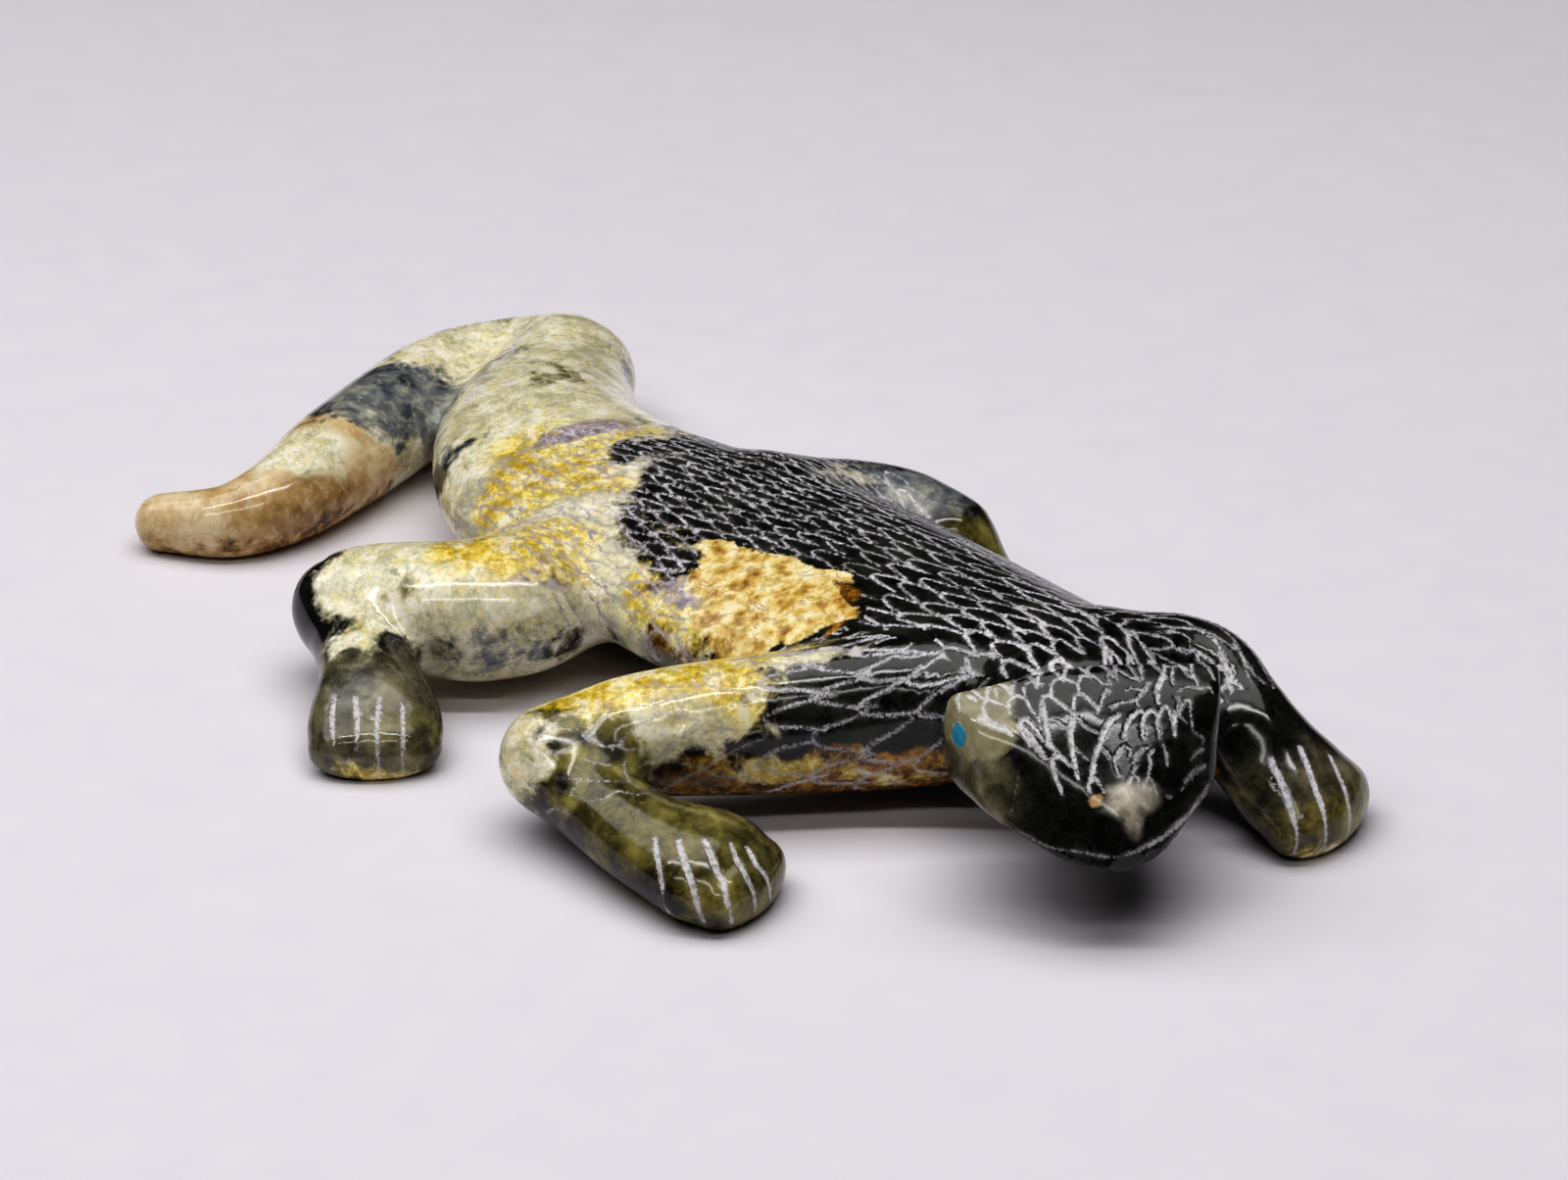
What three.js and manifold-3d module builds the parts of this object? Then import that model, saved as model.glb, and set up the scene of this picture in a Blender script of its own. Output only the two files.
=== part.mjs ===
// A carved stone lizard, crawling, with its body and tail in one long S and a round turquoise eye
// set in each side of its head. Millimetres, +Z up, standing on z = 0, nose toward -Y, origin under
// the middle of its outline. One stone, two inlaid eyes.
//
// The stone is a solid of "inside or outside" arithmetic: each limb is an oval tube along a smooth
// centre line, the head is a block bounded by flat facets, and all of them flow into each other
// with soft joins. A net is then stretched over the zero level of that sum.
import * as THREE from 'three';
import { mergeVertices } from 'three/addons/utils/BufferGeometryUtils.js';
import Module from 'manifold-3d';

// --- the whole animal ---
const BODY_LENGTH = 113.6; // nose to the bend of the tail
const BODY_SPREAD = 69.6; // tail tip to the far forefoot
const BODY_HEIGHT = 16.0; // floor to the crown of the head
// --- girths: the widest and the deepest section of each part ---
const TORSO_WIDTH = 25.6;
const TORSO_DEPTH = 12.0;
const TAIL_WIDTH = 10.0;
const TAIL_DEPTH = 9.2;
const UPPER_ARM_WIDTH = 9.8;
const UPPER_ARM_DEPTH = 9.6;
const FOREFOOT_WIDTH = 11.2;
const FOREFOOT_DEPTH = 6.8;
const THIGH_WIDTH = 12.6;
const THIGH_DEPTH = 10.8;
const HINDFOOT_WIDTH = 10.0;
const HINDFOOT_DEPTH = 6.2;
// --- head ---
const HEAD_WIDTH = 20.4;
const HEAD_LENGTH = 15.0;
const HEAD_DEPTH = 9.4;
const HEAD_LEFT_FULLER = 1.06; // its left half is carved this much wider than its right
const HEAD_LEFT_LEAN = 0.12; // and widens by this much more from the middle up to the crown
const HEAD_TURN = THREE.MathUtils.degToRad(-8); // toward the animal's right
const HEAD_NOD = THREE.MathUtils.degToRad(-10); // nose down
// --- eyes ---
const EYE_DIAMETER = 1.65;
const EYE_DOME = 0.16; // how far the polished face stands up
const EYE_LENGTH = 1.5; // how deep the plug goes into the stone
const EYE_GLUE = 0.2; // ring of setting paste around the plug
const EYE_FLOOR_GAP = 0.3; // paste under the plug
const RIGHT_EYE_AHEAD = -0.27; // of half the head's length, from its middle
const RIGHT_EYE_UP = 0.42; // of half the head's depth, from its middle
const LEFT_EYE_AHEAD = -0.4; // set by eye, so a little farther back than the right one
const LEFT_EYE_UP = 0.3; // and a little lower
// --- how softly the parts flow together ---
const JOIN_TAIL = 3.4;
const JOIN_ELBOW = 2.0;
const JOIN_LIMB = 2.2;
const JOIN_NECK = 3.0;
const FACET_ROUNDING = 1.1;
// --- the net that is stretched over the surface ---
const NET_MESH = 1.95; // size of its meshes along the back and tail
const NET_MESH_HEAD = 1.35; // and over the head, which has the sharpest forms
const NET_MESH_UP = 1.55; // and up the sides
const HEAD_PART = 0.34; // share of the length that the finer meshes cover, from the nose
const NET_ROUNDS = 4; // evening out and pulling onto the surface
const FLOOR_SNAP = 0.3; // knots this near the floor are laid on it
const FOLD_GAP = 0.12; // two folds of the skin that meet in a crease stay this far apart
const NET_PULL = 0.6; // the most that a knot moves in one pull
const SLOPE_STEP = 0.02; // the slope is measured over this step
const TUBE_REACH = 6; // a tube is felt this far outside its skin
const NET_ROOM = 3; // the net starts this far outside the skin
const SOCKET_CLEAR = 2; // the drill for a socket starts this far outside the head
const FLOOR_CUTTER = 400; // side of the block that keeps what is above the floor, far larger than the animal

// Centre lines. Each row is a station: across, along and up as hundredths of the animal's spread,
// length and height, then half of the section's width and depth as hundredths of half the
// part's own width and depth.
const CENTRE_LINES = {
  torso: { width: TORSO_WIDTH, depth: TORSO_DEPTH, rows: [
    [20.5, -33, 63.5, 56, 80], [20.4, -27.7, 57.5, 77, 87], [15.3, -18.2, 50, 100, 93],
    [7.9, -3.6, 45, 113, 100], [2.4, 5.9, 45, 102, 100], [-2.9, 15.8, 43.1, 94, 98],
    [-2.2, 26.6, 40, 73, 95], [4.5, 36.3, 35, 56, 87], [9.4, 41.2, 31.2, 41, 80]] },
  tail: { width: TAIL_WIDTH, depth: TAIL_DEPTH, rows: [
    [9.4, 41.2, 31.2, 104, 104], [9.8, 44.1, 29, 94, 102], [4.9, 46.2, 27, 86, 99],
    [-4.6, 45.2, 26.6, 92, 100], [-14.5, 39.9, 26.6, 100, 100], [-24.3, 34.8, 25.4, 94, 96],
    [-32.6, 31, 21.8, 76, 83], [-39.9, 30, 17.6, 62, 67], [-46.8, 32.6, 14.2, 48, 54]] },
  rightUpperArm: { width: UPPER_ARM_WIDTH, depth: UPPER_ARM_DEPTH, rows: [
    [14.2, -25.4, 47.5, 112, 122], [3, -23.7, 43.8, 100, 117], [-8.9, -21.5, 42.5, 98, 108],
    [-21.1, -19.8, 41.2, 94, 92], [-29.1, -19.6, 36.2, 73, 75]] },
  rightForearm: { width: FOREFOOT_WIDTH, depth: FOREFOOT_DEPTH, rows: [
    [-29.1, -19.6, 36.2, 64, 106], [-27.2, -24.2, 27.5, 61, 94], [-24.6, -28.6, 22.5, 71, 94],
    [-20.5, -31.9, 17.5, 100, 100], [-18.1, -33.7, 12.5, 95, 82]] },
  leftUpperArm: { width: UPPER_ARM_WIDTH, depth: UPPER_ARM_DEPTH, rows: [
    [29.8, -28.9, 56.2, 122, 104], [35.8, -29.3, 56.2, 98, 92], [38.7, -31.2, 53.8, 73, 79],
    [39.5, -34.8, 38.8, 69, 71]] },
  leftForearm: { width: FOREFOOT_WIDTH, depth: FOREFOOT_DEPTH, rows: [
    [39.5, -34.8, 38.8, 61, 100], [41.5, -37.2, 25.5, 88, 106], [43.8, -39.2, 13.8, 105, 95]] },
  rightThigh: { width: THIGH_WIDTH, depth: THIGH_DEPTH, rows: [
    [3.1, 8.8, 45, 73, 81], [-7.8, 5.8, 43.8, 79, 85], [-17.6, 2.7, 40.6, 95, 98],
    [-22.9, 2.3, 40, 100, 100], [-27.5, 3.1, 40, 92, 98], [-34.8, 6.5, 40.6, 73, 80],
    [-38.3, 7.2, 36.2, 51, 67]] },
  rightShin: { width: HINDFOOT_WIDTH, depth: HINDFOOT_DEPTH, rows: [
    [-38.3, 7.2, 36.2, 64, 116], [-39.1, 0.5, 27.5, 72, 103], [-40.8, -4.5, 18.1, 100, 100],
    [-42.2, -7.1, 11.2, 100, 81]] },
  leftThigh: { width: THIGH_WIDTH, depth: THIGH_DEPTH, rows: [
    [15.1, 6.6, 45, 103, 93], [24.7, 7.2, 42.5, 71, 70], [30.1, 5.2, 38.8, 67, 65],
    [32.8, 2.3, 33.8, 51, 57]] },
  leftShin: { width: HINDFOOT_WIDTH, depth: HINDFOOT_DEPTH, rows: [
    [32.8, 2.3, 33.8, 64, 100], [33.6, 0.9, 22.5, 72, 97], [34, -0.5, 12.5, 80, 84]] },
};

// Middle of the head, in the same hundredths.
const HEAD_MIDDLE = [15.5, -41, 68.8];
// Facets of the head. A facet is the plane a * |across| + b * ahead + c * up = 1, measured in half
// widths, half lengths and half depths of the head, and both cheeks share it.
const HEAD_FACETS = {
  crown: [0.34, 0.31, 1.04],
  forehead: [0.25, 1.01, 1.15],
  snoutSide: [0.91, 0.99, 0.49],
  brow: [0.74, 0.05, 0.38],
  cheek: [1.14, 0.22, 0.09],
  backOfCheek: [0.98, -0.15, -0.05],
  jaw: [0.84, 0.24, -0.67],
  underside: [0, 0.24, -1.07],
  nose: [0.26, 0.68, -0.1],
  nape: [0, -1.48, 0.11],
};
const HEAD_RIDGE = 0.4; // the ridge down the middle of the head is rounded over this width

const SAMPLES_PER_SPAN = 8;

// Soft minimum and maximum: k is the width of the blend.
function softMin(a, b, k) {
  const h = THREE.MathUtils.clamp(0.5 + (0.5 * (b - a)) / k, 0, 1);
  return b + h * (a - b) - k * h * (1 - h);
}
function softMax(a, b, k) {
  return -softMin(-a, -b, k);
}

// A centre line as short straight steps: position, half width, half depth and the way it runs.
function centreLine({ width, depth, rows }) {
  const places = new THREE.CatmullRomCurve3(rows.map((r) => new THREE.Vector3(
    (r[0] * BODY_SPREAD) / 100, (r[1] * BODY_LENGTH) / 100, (r[2] * BODY_HEIGHT) / 100)), false, 'catmullrom', 0.5);
  const sizes = new THREE.CatmullRomCurve3(rows.map((r) => new THREE.Vector3(
    (r[3] * width) / 200, (r[4] * depth) / 200, 0)), false, 'catmullrom', 0.5);
  const steps = SAMPLES_PER_SPAN * (rows.length - 1);
  const at = [], half = [], way = [];
  for (let i = 0; i <= steps; i++) {
    at.push(places.getPoint(i / steps));
    half.push(sizes.getPoint(i / steps));
  }
  for (let i = 0; i <= steps; i++) {
    const from = at[Math.max(i - 1, 0)], to = at[Math.min(i + 1, steps)];
    way.push(to.clone().sub(from).normalize());
  }
  const reach = Math.max(...half.map((h) => Math.max(h.x, h.y)));
  const box = new THREE.Box3().setFromPoints(at).expandByScalar(reach + TUBE_REACH);
  return { at, half, way, box };
}

// Distance from a point to an oval tube: the nearest place on its centre line gives the section,
// and the point is measured against the oval there, with a rounded cap past either end.
const step = new THREE.Vector3(), gap = new THREE.Vector3(), mid = new THREE.Vector3();
const run = new THREE.Vector3(), side = new THREE.Vector3(), up = new THREE.Vector3();
function tube(p, line) {
  if (!line.box.containsPoint(p)) return 1e9;
  let best = Infinity, where = 0;
  for (let i = 0; i < line.at.length - 1; i++) {
    step.subVectors(line.at[i + 1], line.at[i]);
    gap.subVectors(p, line.at[i]);
    const t = THREE.MathUtils.clamp(gap.dot(step) / step.lengthSq(), 0, 1);
    const d = gap.addScaledVector(step, -t).lengthSq();
    if (d < best) { best = d; where = i + t; }
  }
  const i = Math.min(Math.floor(where), line.at.length - 2), t = where - i;
  mid.lerpVectors(line.at[i], line.at[i + 1], t);
  run.lerpVectors(line.way[i], line.way[i + 1], t).normalize();
  const w = THREE.MathUtils.lerp(line.half[i].x, line.half[i + 1].x, t);
  const h = THREE.MathUtils.lerp(line.half[i].y, line.half[i + 1].y, t);
  const cap = Math.min(w, h);
  side.set(run.y, -run.x, 0).normalize();
  up.crossVectors(side, run);
  gap.subVectors(p, mid);
  const x = gap.dot(side), y = gap.dot(up), z = gap.dot(run);
  const k0 = Math.hypot(x / w, y / h, z / cap);
  const k1 = Math.hypot(x / w ** 2, y / h ** 2, z / cap ** 2) + 1e-9;
  return (k0 * (k0 - 1)) / k1;
}

// The head's own axes: across (toward the animal's right), ahead (toward the nose) and up.
const headMiddle = new THREE.Vector3(
  (HEAD_MIDDLE[0] * BODY_SPREAD) / 100, (HEAD_MIDDLE[1] * BODY_LENGTH) / 100, (HEAD_MIDDLE[2] * BODY_HEIGHT) / 100);
const headAhead = new THREE.Vector3(
  Math.sin(HEAD_TURN) * Math.cos(HEAD_NOD), -Math.cos(HEAD_TURN) * Math.cos(HEAD_NOD), Math.sin(HEAD_NOD));
const headAcross = new THREE.Vector3().crossVectors(headAhead, new THREE.Vector3(0, 0, 1)).normalize();
const headUp = new THREE.Vector3().crossVectors(headAcross, headAhead);
const headHalf = new THREE.Vector3(HEAD_WIDTH / 2, HEAD_LENGTH / 2, HEAD_DEPTH / 2);
const facets = Object.values(HEAD_FACETS).map(([a, b, c]) => {
  const n = new THREE.Vector3(a / headHalf.x, b / headHalf.y, c / headHalf.z);
  return { n, length: n.length() };
});
const toHead = new THREE.Vector3();
function head(p) {
  toHead.subVectors(p, headMiddle);
  const sideways = toHead.dot(headAcross), ahead = toHead.dot(headAhead), above = toHead.dot(headUp);
  const leftHalf = HEAD_LEFT_FULLER + (HEAD_LEFT_LEAN * above) / headHalf.z;
  const across = Math.hypot(sideways < 0 ? sideways / leftHalf : sideways, HEAD_RIDGE);
  let d = -Infinity;
  for (const { n, length } of facets) {
    const f = (n.x * across + n.y * ahead + n.z * above - 1) / length;
    d = d === -Infinity ? f : softMax(d, f, FACET_ROUNDING);
  }
  return d;
}

const lines = Object.fromEntries(Object.entries(CENTRE_LINES).map(([k, v]) => [k, centreLine(v)]));
const limbs = [
  [lines.rightUpperArm, lines.rightForearm], [lines.leftUpperArm, lines.leftForearm],
  [lines.rightThigh, lines.rightShin], [lines.leftThigh, lines.leftShin],
];

// The whole stone: below zero inside, above zero outside.
function stone(p) {
  let d = softMin(tube(p, lines.torso), tube(p, lines.tail), JOIN_TAIL);
  for (const [upper, lower] of limbs) {
    d = softMin(d, softMin(tube(p, upper), tube(p, lower), JOIN_ELBOW), JOIN_LIMB);
  }
  return softMin(d, head(p), JOIN_NECK);
}

function slope(p, out) {
  const e = SLOPE_STEP, q = new THREE.Vector3();
  for (let k = 0; k < 3; k++) {
    q.copy(p).setComponent(k, p.getComponent(k) + e);
    const a = stone(q);
    q.setComponent(k, p.getComponent(k) - e);
    out.setComponent(k, (a - stone(q)) / (2 * e));
  }
  return out;
}

// Grid planes along one axis, from one place to another, with finer steps up to a third place.
function planes(from, to, mesh, fineMesh = mesh, fineUntil = from) {
  const out = [from];
  while (out.at(-1) < to) out.push(out.at(-1) + (out.at(-1) < fineUntil ? fineMesh : mesh));
  return out;
}

// Pulls a point onto the zero level along the slope, by no more than `most`.
function pullOnto(field, q, most) {
  const start = q.clone(), pull = new THREE.Vector3();
  for (let round = 0; round < 3; round++) {
    slope(q, pull);
    q.addScaledVector(pull, -field(q) / Math.max(pull.lengthSq(), 0.25));
  }
  const moved = q.sub(start).clampLength(0, most);
  q.copy(start.add(moved));
}

// A net over the zero level: one knot in each grid cell that the surface passes through, at the
// mean of its crossings with the cell's edges, and one mesh around each crossed grid edge. The
// knots are then evened out between their neighbours and pulled onto the surface, in turns.
function net(field, grid) {
  const n = grid.map((g) => g.length);
  const at = (i, j, k) => (i * n[1] + j) * n[2] + k;
  const value = new Float64Array(n[0] * n[1] * n[2]);
  const p = new THREE.Vector3();
  for (let i = 0; i < n[0]; i++) for (let j = 0; j < n[1]; j++) for (let k = 0; k < n[2]; k++) {
    value[at(i, j, k)] = field(p.set(grid[0][i], grid[1][j], grid[2][k]));
  }
  const knot = new Map(), points = [];
  const knotOf = (...cell) => {
    const id = at(...cell);
    if (knot.has(id)) return knot.get(id);
    const sum = [0, 0, 0];
    let crossings = 0;
    for (let axis = 0; axis < 3; axis++) for (let b = 0; b < 2; b++) for (let c = 0; c < 2; c++) {
      const low = [...cell];
      low[(axis + 1) % 3] += b; low[(axis + 2) % 3] += c;
      const high = [...low];
      high[axis]++;
      const f0 = value[at(...low)], f1 = value[at(...high)];
      if ((f0 < 0) === (f1 < 0)) continue;
      for (let k = 0; k < 3; k++) {
        sum[k] += THREE.MathUtils.lerp(grid[k][low[k]], grid[k][high[k]], f0 / (f0 - f1));
      }
      crossings++;
    }
    points.push(new THREE.Vector3(...sum).divideScalar(crossings));
    knot.set(id, points.length - 1);
    return points.length - 1;
  };
  const rings = [];
  for (let i = 0; i < n[0]; i++) for (let j = 0; j < n[1]; j++) for (let k = 0; k < n[2]; k++) {
    const here = [i, j, k], inside = value[at(i, j, k)] < 0;
    for (let axis = 0; axis < 3; axis++) {
      const b = (axis + 1) % 3, c = (axis + 2) % 3;
      const next = [...here];
      next[axis]++;
      if (next[axis] >= n[axis] || here[b] < 1 || here[c] < 1 || here[b] > n[b] - 2 || here[c] > n[c] - 2) continue;
      if (inside === value[at(...next)] < 0) continue;
      const ring = [[0, 0], [-1, 0], [-1, -1], [0, -1]].map(([db, dc]) => {
        const cell = [...here];
        cell[b] += db; cell[c] += dc;
        return knotOf(...cell);
      });
      rings.push(inside ? ring : ring.reverse());
    }
  }
  const beside = points.map(() => new Set());
  for (const ring of rings) ring.forEach((q, k) => { beside[q].add(ring[(k + 1) % 4]).add(ring[(k + 3) % 4]); });
  for (let round = 0; round < NET_ROUNDS; round++) {
    const evened = points.map((q, i) => {
      const mean = new THREE.Vector3();
      for (const j of beside[i]) mean.add(points[j]);
      return q.clone().lerp(mean.divideScalar(beside[i].size), 0.5);
    });
    evened.forEach((q, i) => { pullOnto(field, q, NET_PULL); points[i].copy(q); });
  }
  for (const q of points) if (Math.abs(q.z) < FLOOR_SNAP) q.z = 0;
  const index = rings.flatMap((ring) => {
    const [q0, q1, q2, q3] = ring.map((r) => points[r]);
    const turn = q0.distanceToSquared(q2) < q1.distanceToSquared(q3) ? 0 : 1;
    const [a, b, c, d] = [0, 1, 2, 3].map((k) => ring[(k + turn) % 4]);
    return [a, b, c, a, c, d];
  });
  const geometry = new THREE.BufferGeometry();
  geometry.setAttribute('position', new THREE.Float32BufferAttribute(points.flatMap((q) => q.toArray()), 3));
  geometry.setIndex(index);
  return geometry;
}

// Joins and cuts.
const wasm = await Module();
wasm.setup();
function solid(geometry) {
  const g = geometry.clone();
  g.deleteAttribute('normal');
  g.deleteAttribute('uv');
  const m = mergeVertices(g, 1e-5);
  return new wasm.Manifold(new wasm.Mesh({
    numProp: 3, vertProperties: new Float32Array(m.attributes.position.array), triVerts: new Uint32Array(m.index.array) }));
}
function geometryOf(manifold) {
  const m = manifold.getMesh();
  const g = new THREE.BufferGeometry();
  g.setAttribute('position', new THREE.Float32BufferAttribute(m.vertProperties, 3));
  g.setIndex([...m.triVerts]);
  return g;
}

// Where two folds of the skin share a knot, each copy of it draws back toward its own fold.
function openFolds(g) {
  const position = g.attributes.position, at = (i) => new THREE.Vector3().fromBufferAttribute(position, i);
  const copies = new Map();
  for (let i = 0; i < position.count; i++) {
    const key = at(i).toArray().map((x) => x.toFixed(4)).join();
    copies.set(key, [...(copies.get(key) ?? []), i]);
  }
  const shared = new Set([...copies.values()].filter((c) => c.length > 1).flat());
  const toward = new Map([...shared].map((i) => [i, new THREE.Vector3()]));
  for (let t = 0; t < g.index.count; t += 3) {
    const corners = [0, 1, 2].map((k) => g.index.getX(t + k));
    for (const i of corners.filter((c) => shared.has(c))) {
      for (const j of corners) toward.get(i).add(at(j).sub(at(i)));
    }
  }
  for (const [i, way] of toward) position.setXYZ(i, ...at(i).addScaledVector(way.normalize(), FOLD_GAP).toArray());
  return g;
}

// An eye's place: from the middle of the head outward until the surface is met, square to it.
function eyePlace(hand, aheadShare, upShare) {
  const from = headMiddle.clone()
    .addScaledVector(headAhead, aheadShare * headHalf.y).addScaledVector(headUp, upShare * headHalf.z);
  const out = headAcross.clone().multiplyScalar(hand);
  let low = 0, high = HEAD_WIDTH;
  for (let i = 0; i < 40; i++) {
    const t = (low + high) / 2;
    if (head(from.clone().addScaledVector(out, t)) < 0) low = t; else high = t;
  }
  const point = from.addScaledVector(out, low);
  const normal = slope(point, new THREE.Vector3()).normalize();
  return { point, turn: new THREE.Quaternion().setFromUnitVectors(new THREE.Vector3(0, 1, 0), normal) };
}
const EYE_SIDES = 16;
// A turned plug: flat base, straight wall, low dome.
function eyePlug() {
  const r = EYE_DIAMETER / 2, profile = [new THREE.Vector2(0, -EYE_LENGTH), new THREE.Vector2(r, -EYE_LENGTH)];
  const rings = 3;
  for (let i = 0; i <= rings; i++) {
    const a = (i / rings) * (Math.PI / 2);
    profile.push(new THREE.Vector2(i === rings ? 0 : r * Math.cos(a), EYE_DOME * Math.sin(a)));
  }
  return new THREE.LatheGeometry(profile, EYE_SIDES);
}
function eyeSocket({ point, turn }) {
  const depth = EYE_LENGTH + EYE_FLOOR_GAP, above = SOCKET_CLEAR;
  const g = new THREE.CylinderGeometry(EYE_DIAMETER / 2 + EYE_GLUE, EYE_DIAMETER / 2 + EYE_GLUE, depth + above, EYE_SIDES);
  g.translate(0, (above - depth) / 2, 0).applyQuaternion(turn).translate(point.x, point.y, point.z);
  return solid(g);
}

// The stone: net, flat underside, two sockets.
const around = new THREE.Box3();
for (const line of Object.values(lines)) around.union(line.box.clone().expandByScalar(NET_ROOM - TUBE_REACH));
around.union(new THREE.Box3().setFromCenterAndSize(headMiddle, new THREE.Vector3(1, 1, 1).multiplyScalar(HEAD_WIDTH * 1.4)));
const fineUntil = around.min.y + HEAD_PART * BODY_LENGTH;
const carved = solid(net(stone, [
  planes(around.min.x, around.max.x, NET_MESH),
  planes(around.min.y, around.max.y, NET_MESH, NET_MESH_HEAD, fineUntil),
  planes(-2.5 * NET_MESH_UP, around.max.z, NET_MESH_UP),
]));
const aboveFloor = new THREE.BoxGeometry(FLOOR_CUTTER, FLOOR_CUTTER, FLOOR_CUTTER).translate(0, 0, FLOOR_CUTTER / 2);
const eyePlaces = {
  eye_right: eyePlace(1, RIGHT_EYE_AHEAD, RIGHT_EYE_UP), eye_left: eyePlace(-1, LEFT_EYE_AHEAD, LEFT_EYE_UP) };
let body = carved.intersect(solid(aboveFloor));
for (const place of Object.values(eyePlaces)) body = body.subtract(eyeSocket(place));
const bodyGeometry = openFolds(geometryOf(body));

// Origin under the middle of the outline.
bodyGeometry.computeBoundingBox();
const middle = bodyGeometry.boundingBox.getCenter(new THREE.Vector3()).setZ(0);
bodyGeometry.translate(-middle.x, -middle.y, 0);
bodyGeometry.computeVertexNormals();

const serpentine = new THREE.MeshStandardMaterial({ color: 0x3a3c33, roughness: 0.32, metalness: 0 });
serpentine.name = 'polished serpentine';
const turquoise = new THREE.MeshStandardMaterial({ color: 0x1f9db8, roughness: 0.35, metalness: 0 });
turquoise.name = 'turquoise';

const lizard = new THREE.Group();
const stoneMesh = new THREE.Mesh(bodyGeometry, serpentine);
stoneMesh.name = 'stone_lizard';
lizard.add(stoneMesh);
for (const [name, { point, turn }] of Object.entries(eyePlaces)) {
  const eye = new THREE.Mesh(eyePlug(), turquoise);
  eye.name = name;
  eye.position.copy(point).sub(middle);
  eye.quaternion.copy(turn);
  lizard.add(eye);
}
export default lizard;
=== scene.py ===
# %% [markdown]
# # A crawling stone lizard
# The real object is one piece of serpentine, about 111 mm long, ground to shape and polished, with
# scales scratched through the polish and a round turquoise plug set in each side of the head.
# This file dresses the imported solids. It takes four kinds of work: a finer skin for the stone, the
# scratches, two eyes, and the colours of the stone.

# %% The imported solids
import bpy
import math
import numpy as np
from mathutils import Matrix, Vector, noise


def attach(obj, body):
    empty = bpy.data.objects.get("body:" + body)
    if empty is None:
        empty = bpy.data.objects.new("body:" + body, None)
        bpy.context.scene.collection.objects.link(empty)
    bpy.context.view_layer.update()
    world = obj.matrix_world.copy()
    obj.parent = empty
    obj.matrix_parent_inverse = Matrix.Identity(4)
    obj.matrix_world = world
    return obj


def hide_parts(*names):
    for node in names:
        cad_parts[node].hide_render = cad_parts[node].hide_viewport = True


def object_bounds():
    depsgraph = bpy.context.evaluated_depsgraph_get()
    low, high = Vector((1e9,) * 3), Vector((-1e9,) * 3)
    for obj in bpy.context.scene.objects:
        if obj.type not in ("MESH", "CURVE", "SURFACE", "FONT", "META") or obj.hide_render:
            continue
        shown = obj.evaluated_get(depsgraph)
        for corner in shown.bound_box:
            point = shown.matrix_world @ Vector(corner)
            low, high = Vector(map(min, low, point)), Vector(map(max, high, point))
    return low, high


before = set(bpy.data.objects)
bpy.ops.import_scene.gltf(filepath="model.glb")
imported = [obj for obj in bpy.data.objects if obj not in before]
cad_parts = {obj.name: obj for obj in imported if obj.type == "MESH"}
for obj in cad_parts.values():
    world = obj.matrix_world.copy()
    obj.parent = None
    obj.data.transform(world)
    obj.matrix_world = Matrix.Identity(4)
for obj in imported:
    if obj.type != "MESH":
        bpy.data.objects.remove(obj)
cad_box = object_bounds()
MM = 0.001
print("solids:", sorted(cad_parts), "box mm:", [[round(c / MM, 1) for c in v] for v in cad_box])

# %% [markdown]
# ## Camera
# The photograph was taken with a long lens from a third of a metre away, 25 degrees above the
# table, past the head and along the body. How fast the animal shrinks toward its tail gives the
# lens: 108 mm on a 36 mm sensor shrinks it as much.

# %% Camera
LOOKS_DOWN, LOOKS_ASIDE = 25, 23  # degrees
camera = bpy.data.objects.new("camera", bpy.data.cameras.new("camera"))
camera.data.lens = 108
camera.data.sensor_width = 36
camera.location = Vector((-124.18, -310.09, 161.3)) * MM
camera.rotation_euler = (math.radians(90 - LOOKS_DOWN), 0, math.radians(-LOOKS_ASIDE))
camera.data.clip_start = 0.01
bpy.context.collection.objects.link(camera)
bpy.context.scene.camera = camera
print("camera stands", round(camera.location.length / MM), "mm from the middle of the carving")

# %% [markdown]
# ## Small helpers
# Colours are written as a screen shows them (sRGB hex) and turned to the linear values that shaders
# need in one place. One function adds a node with its settings and links, so that a material reads
# as a list of steps.

# %% Colour and node helpers
def linear(hex_colour):
    parts = [int(hex_colour[i:i + 2], 16) / 255 for i in (1, 3, 5)]
    return [c / 12.92 if c <= 0.04045 else ((c + 0.055) / 1.055) ** 2.4 for c in parts] + [1.0]


def new_material(name):
    material = bpy.data.materials.new(name)
    material.use_nodes = True
    material.node_tree.nodes.clear()
    return material


def add(material, kind, inputs=None, stops=(), **settings):
    """Adds a node. inputs: socket name or number -> a value, a node, or a node and its output's name.
    stops: place and colour of each stop, for a colour ramp."""
    node = material.node_tree.nodes.new(kind)
    for key, value in settings.items():
        setattr(node, key, value)
    for number, (place, colour) in enumerate(stops):
        ramp = node.color_ramp.elements
        stop = ramp[number] if number < len(ramp) else ramp.new(place)
        stop.position, stop.color = place, linear(colour)
    for key, value in (inputs or {}).items():
        socket = node.inputs[key] if isinstance(key, int) else next(
            s for s in node.inputs if s.enabled and s.name == key)
        if isinstance(value, bpy.types.Node):
            material.node_tree.links.new(next(o for o in value.outputs if o.enabled), socket)
        elif isinstance(value, tuple) and isinstance(value[0], bpy.types.Node):
            material.node_tree.links.new(value[0].outputs[value[1]], socket)
        else:
            socket.default_value = value
    return node

# %% [markdown]
# ## Table and light
# The carving was photographed in a light box on pale card with a faint lilac tone. Its shadows are
# soft and nearly black under the belly, so little light came from the sides. The polished toes show
# two bright bars: the strip lamps in the roof, one nearly overhead and one toward the camera. So the
# scene has a matte card, a broad soft roof, two narrow lamps and a dark room. The picture was
# developed with strong contrast, which is one setting here.

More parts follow.
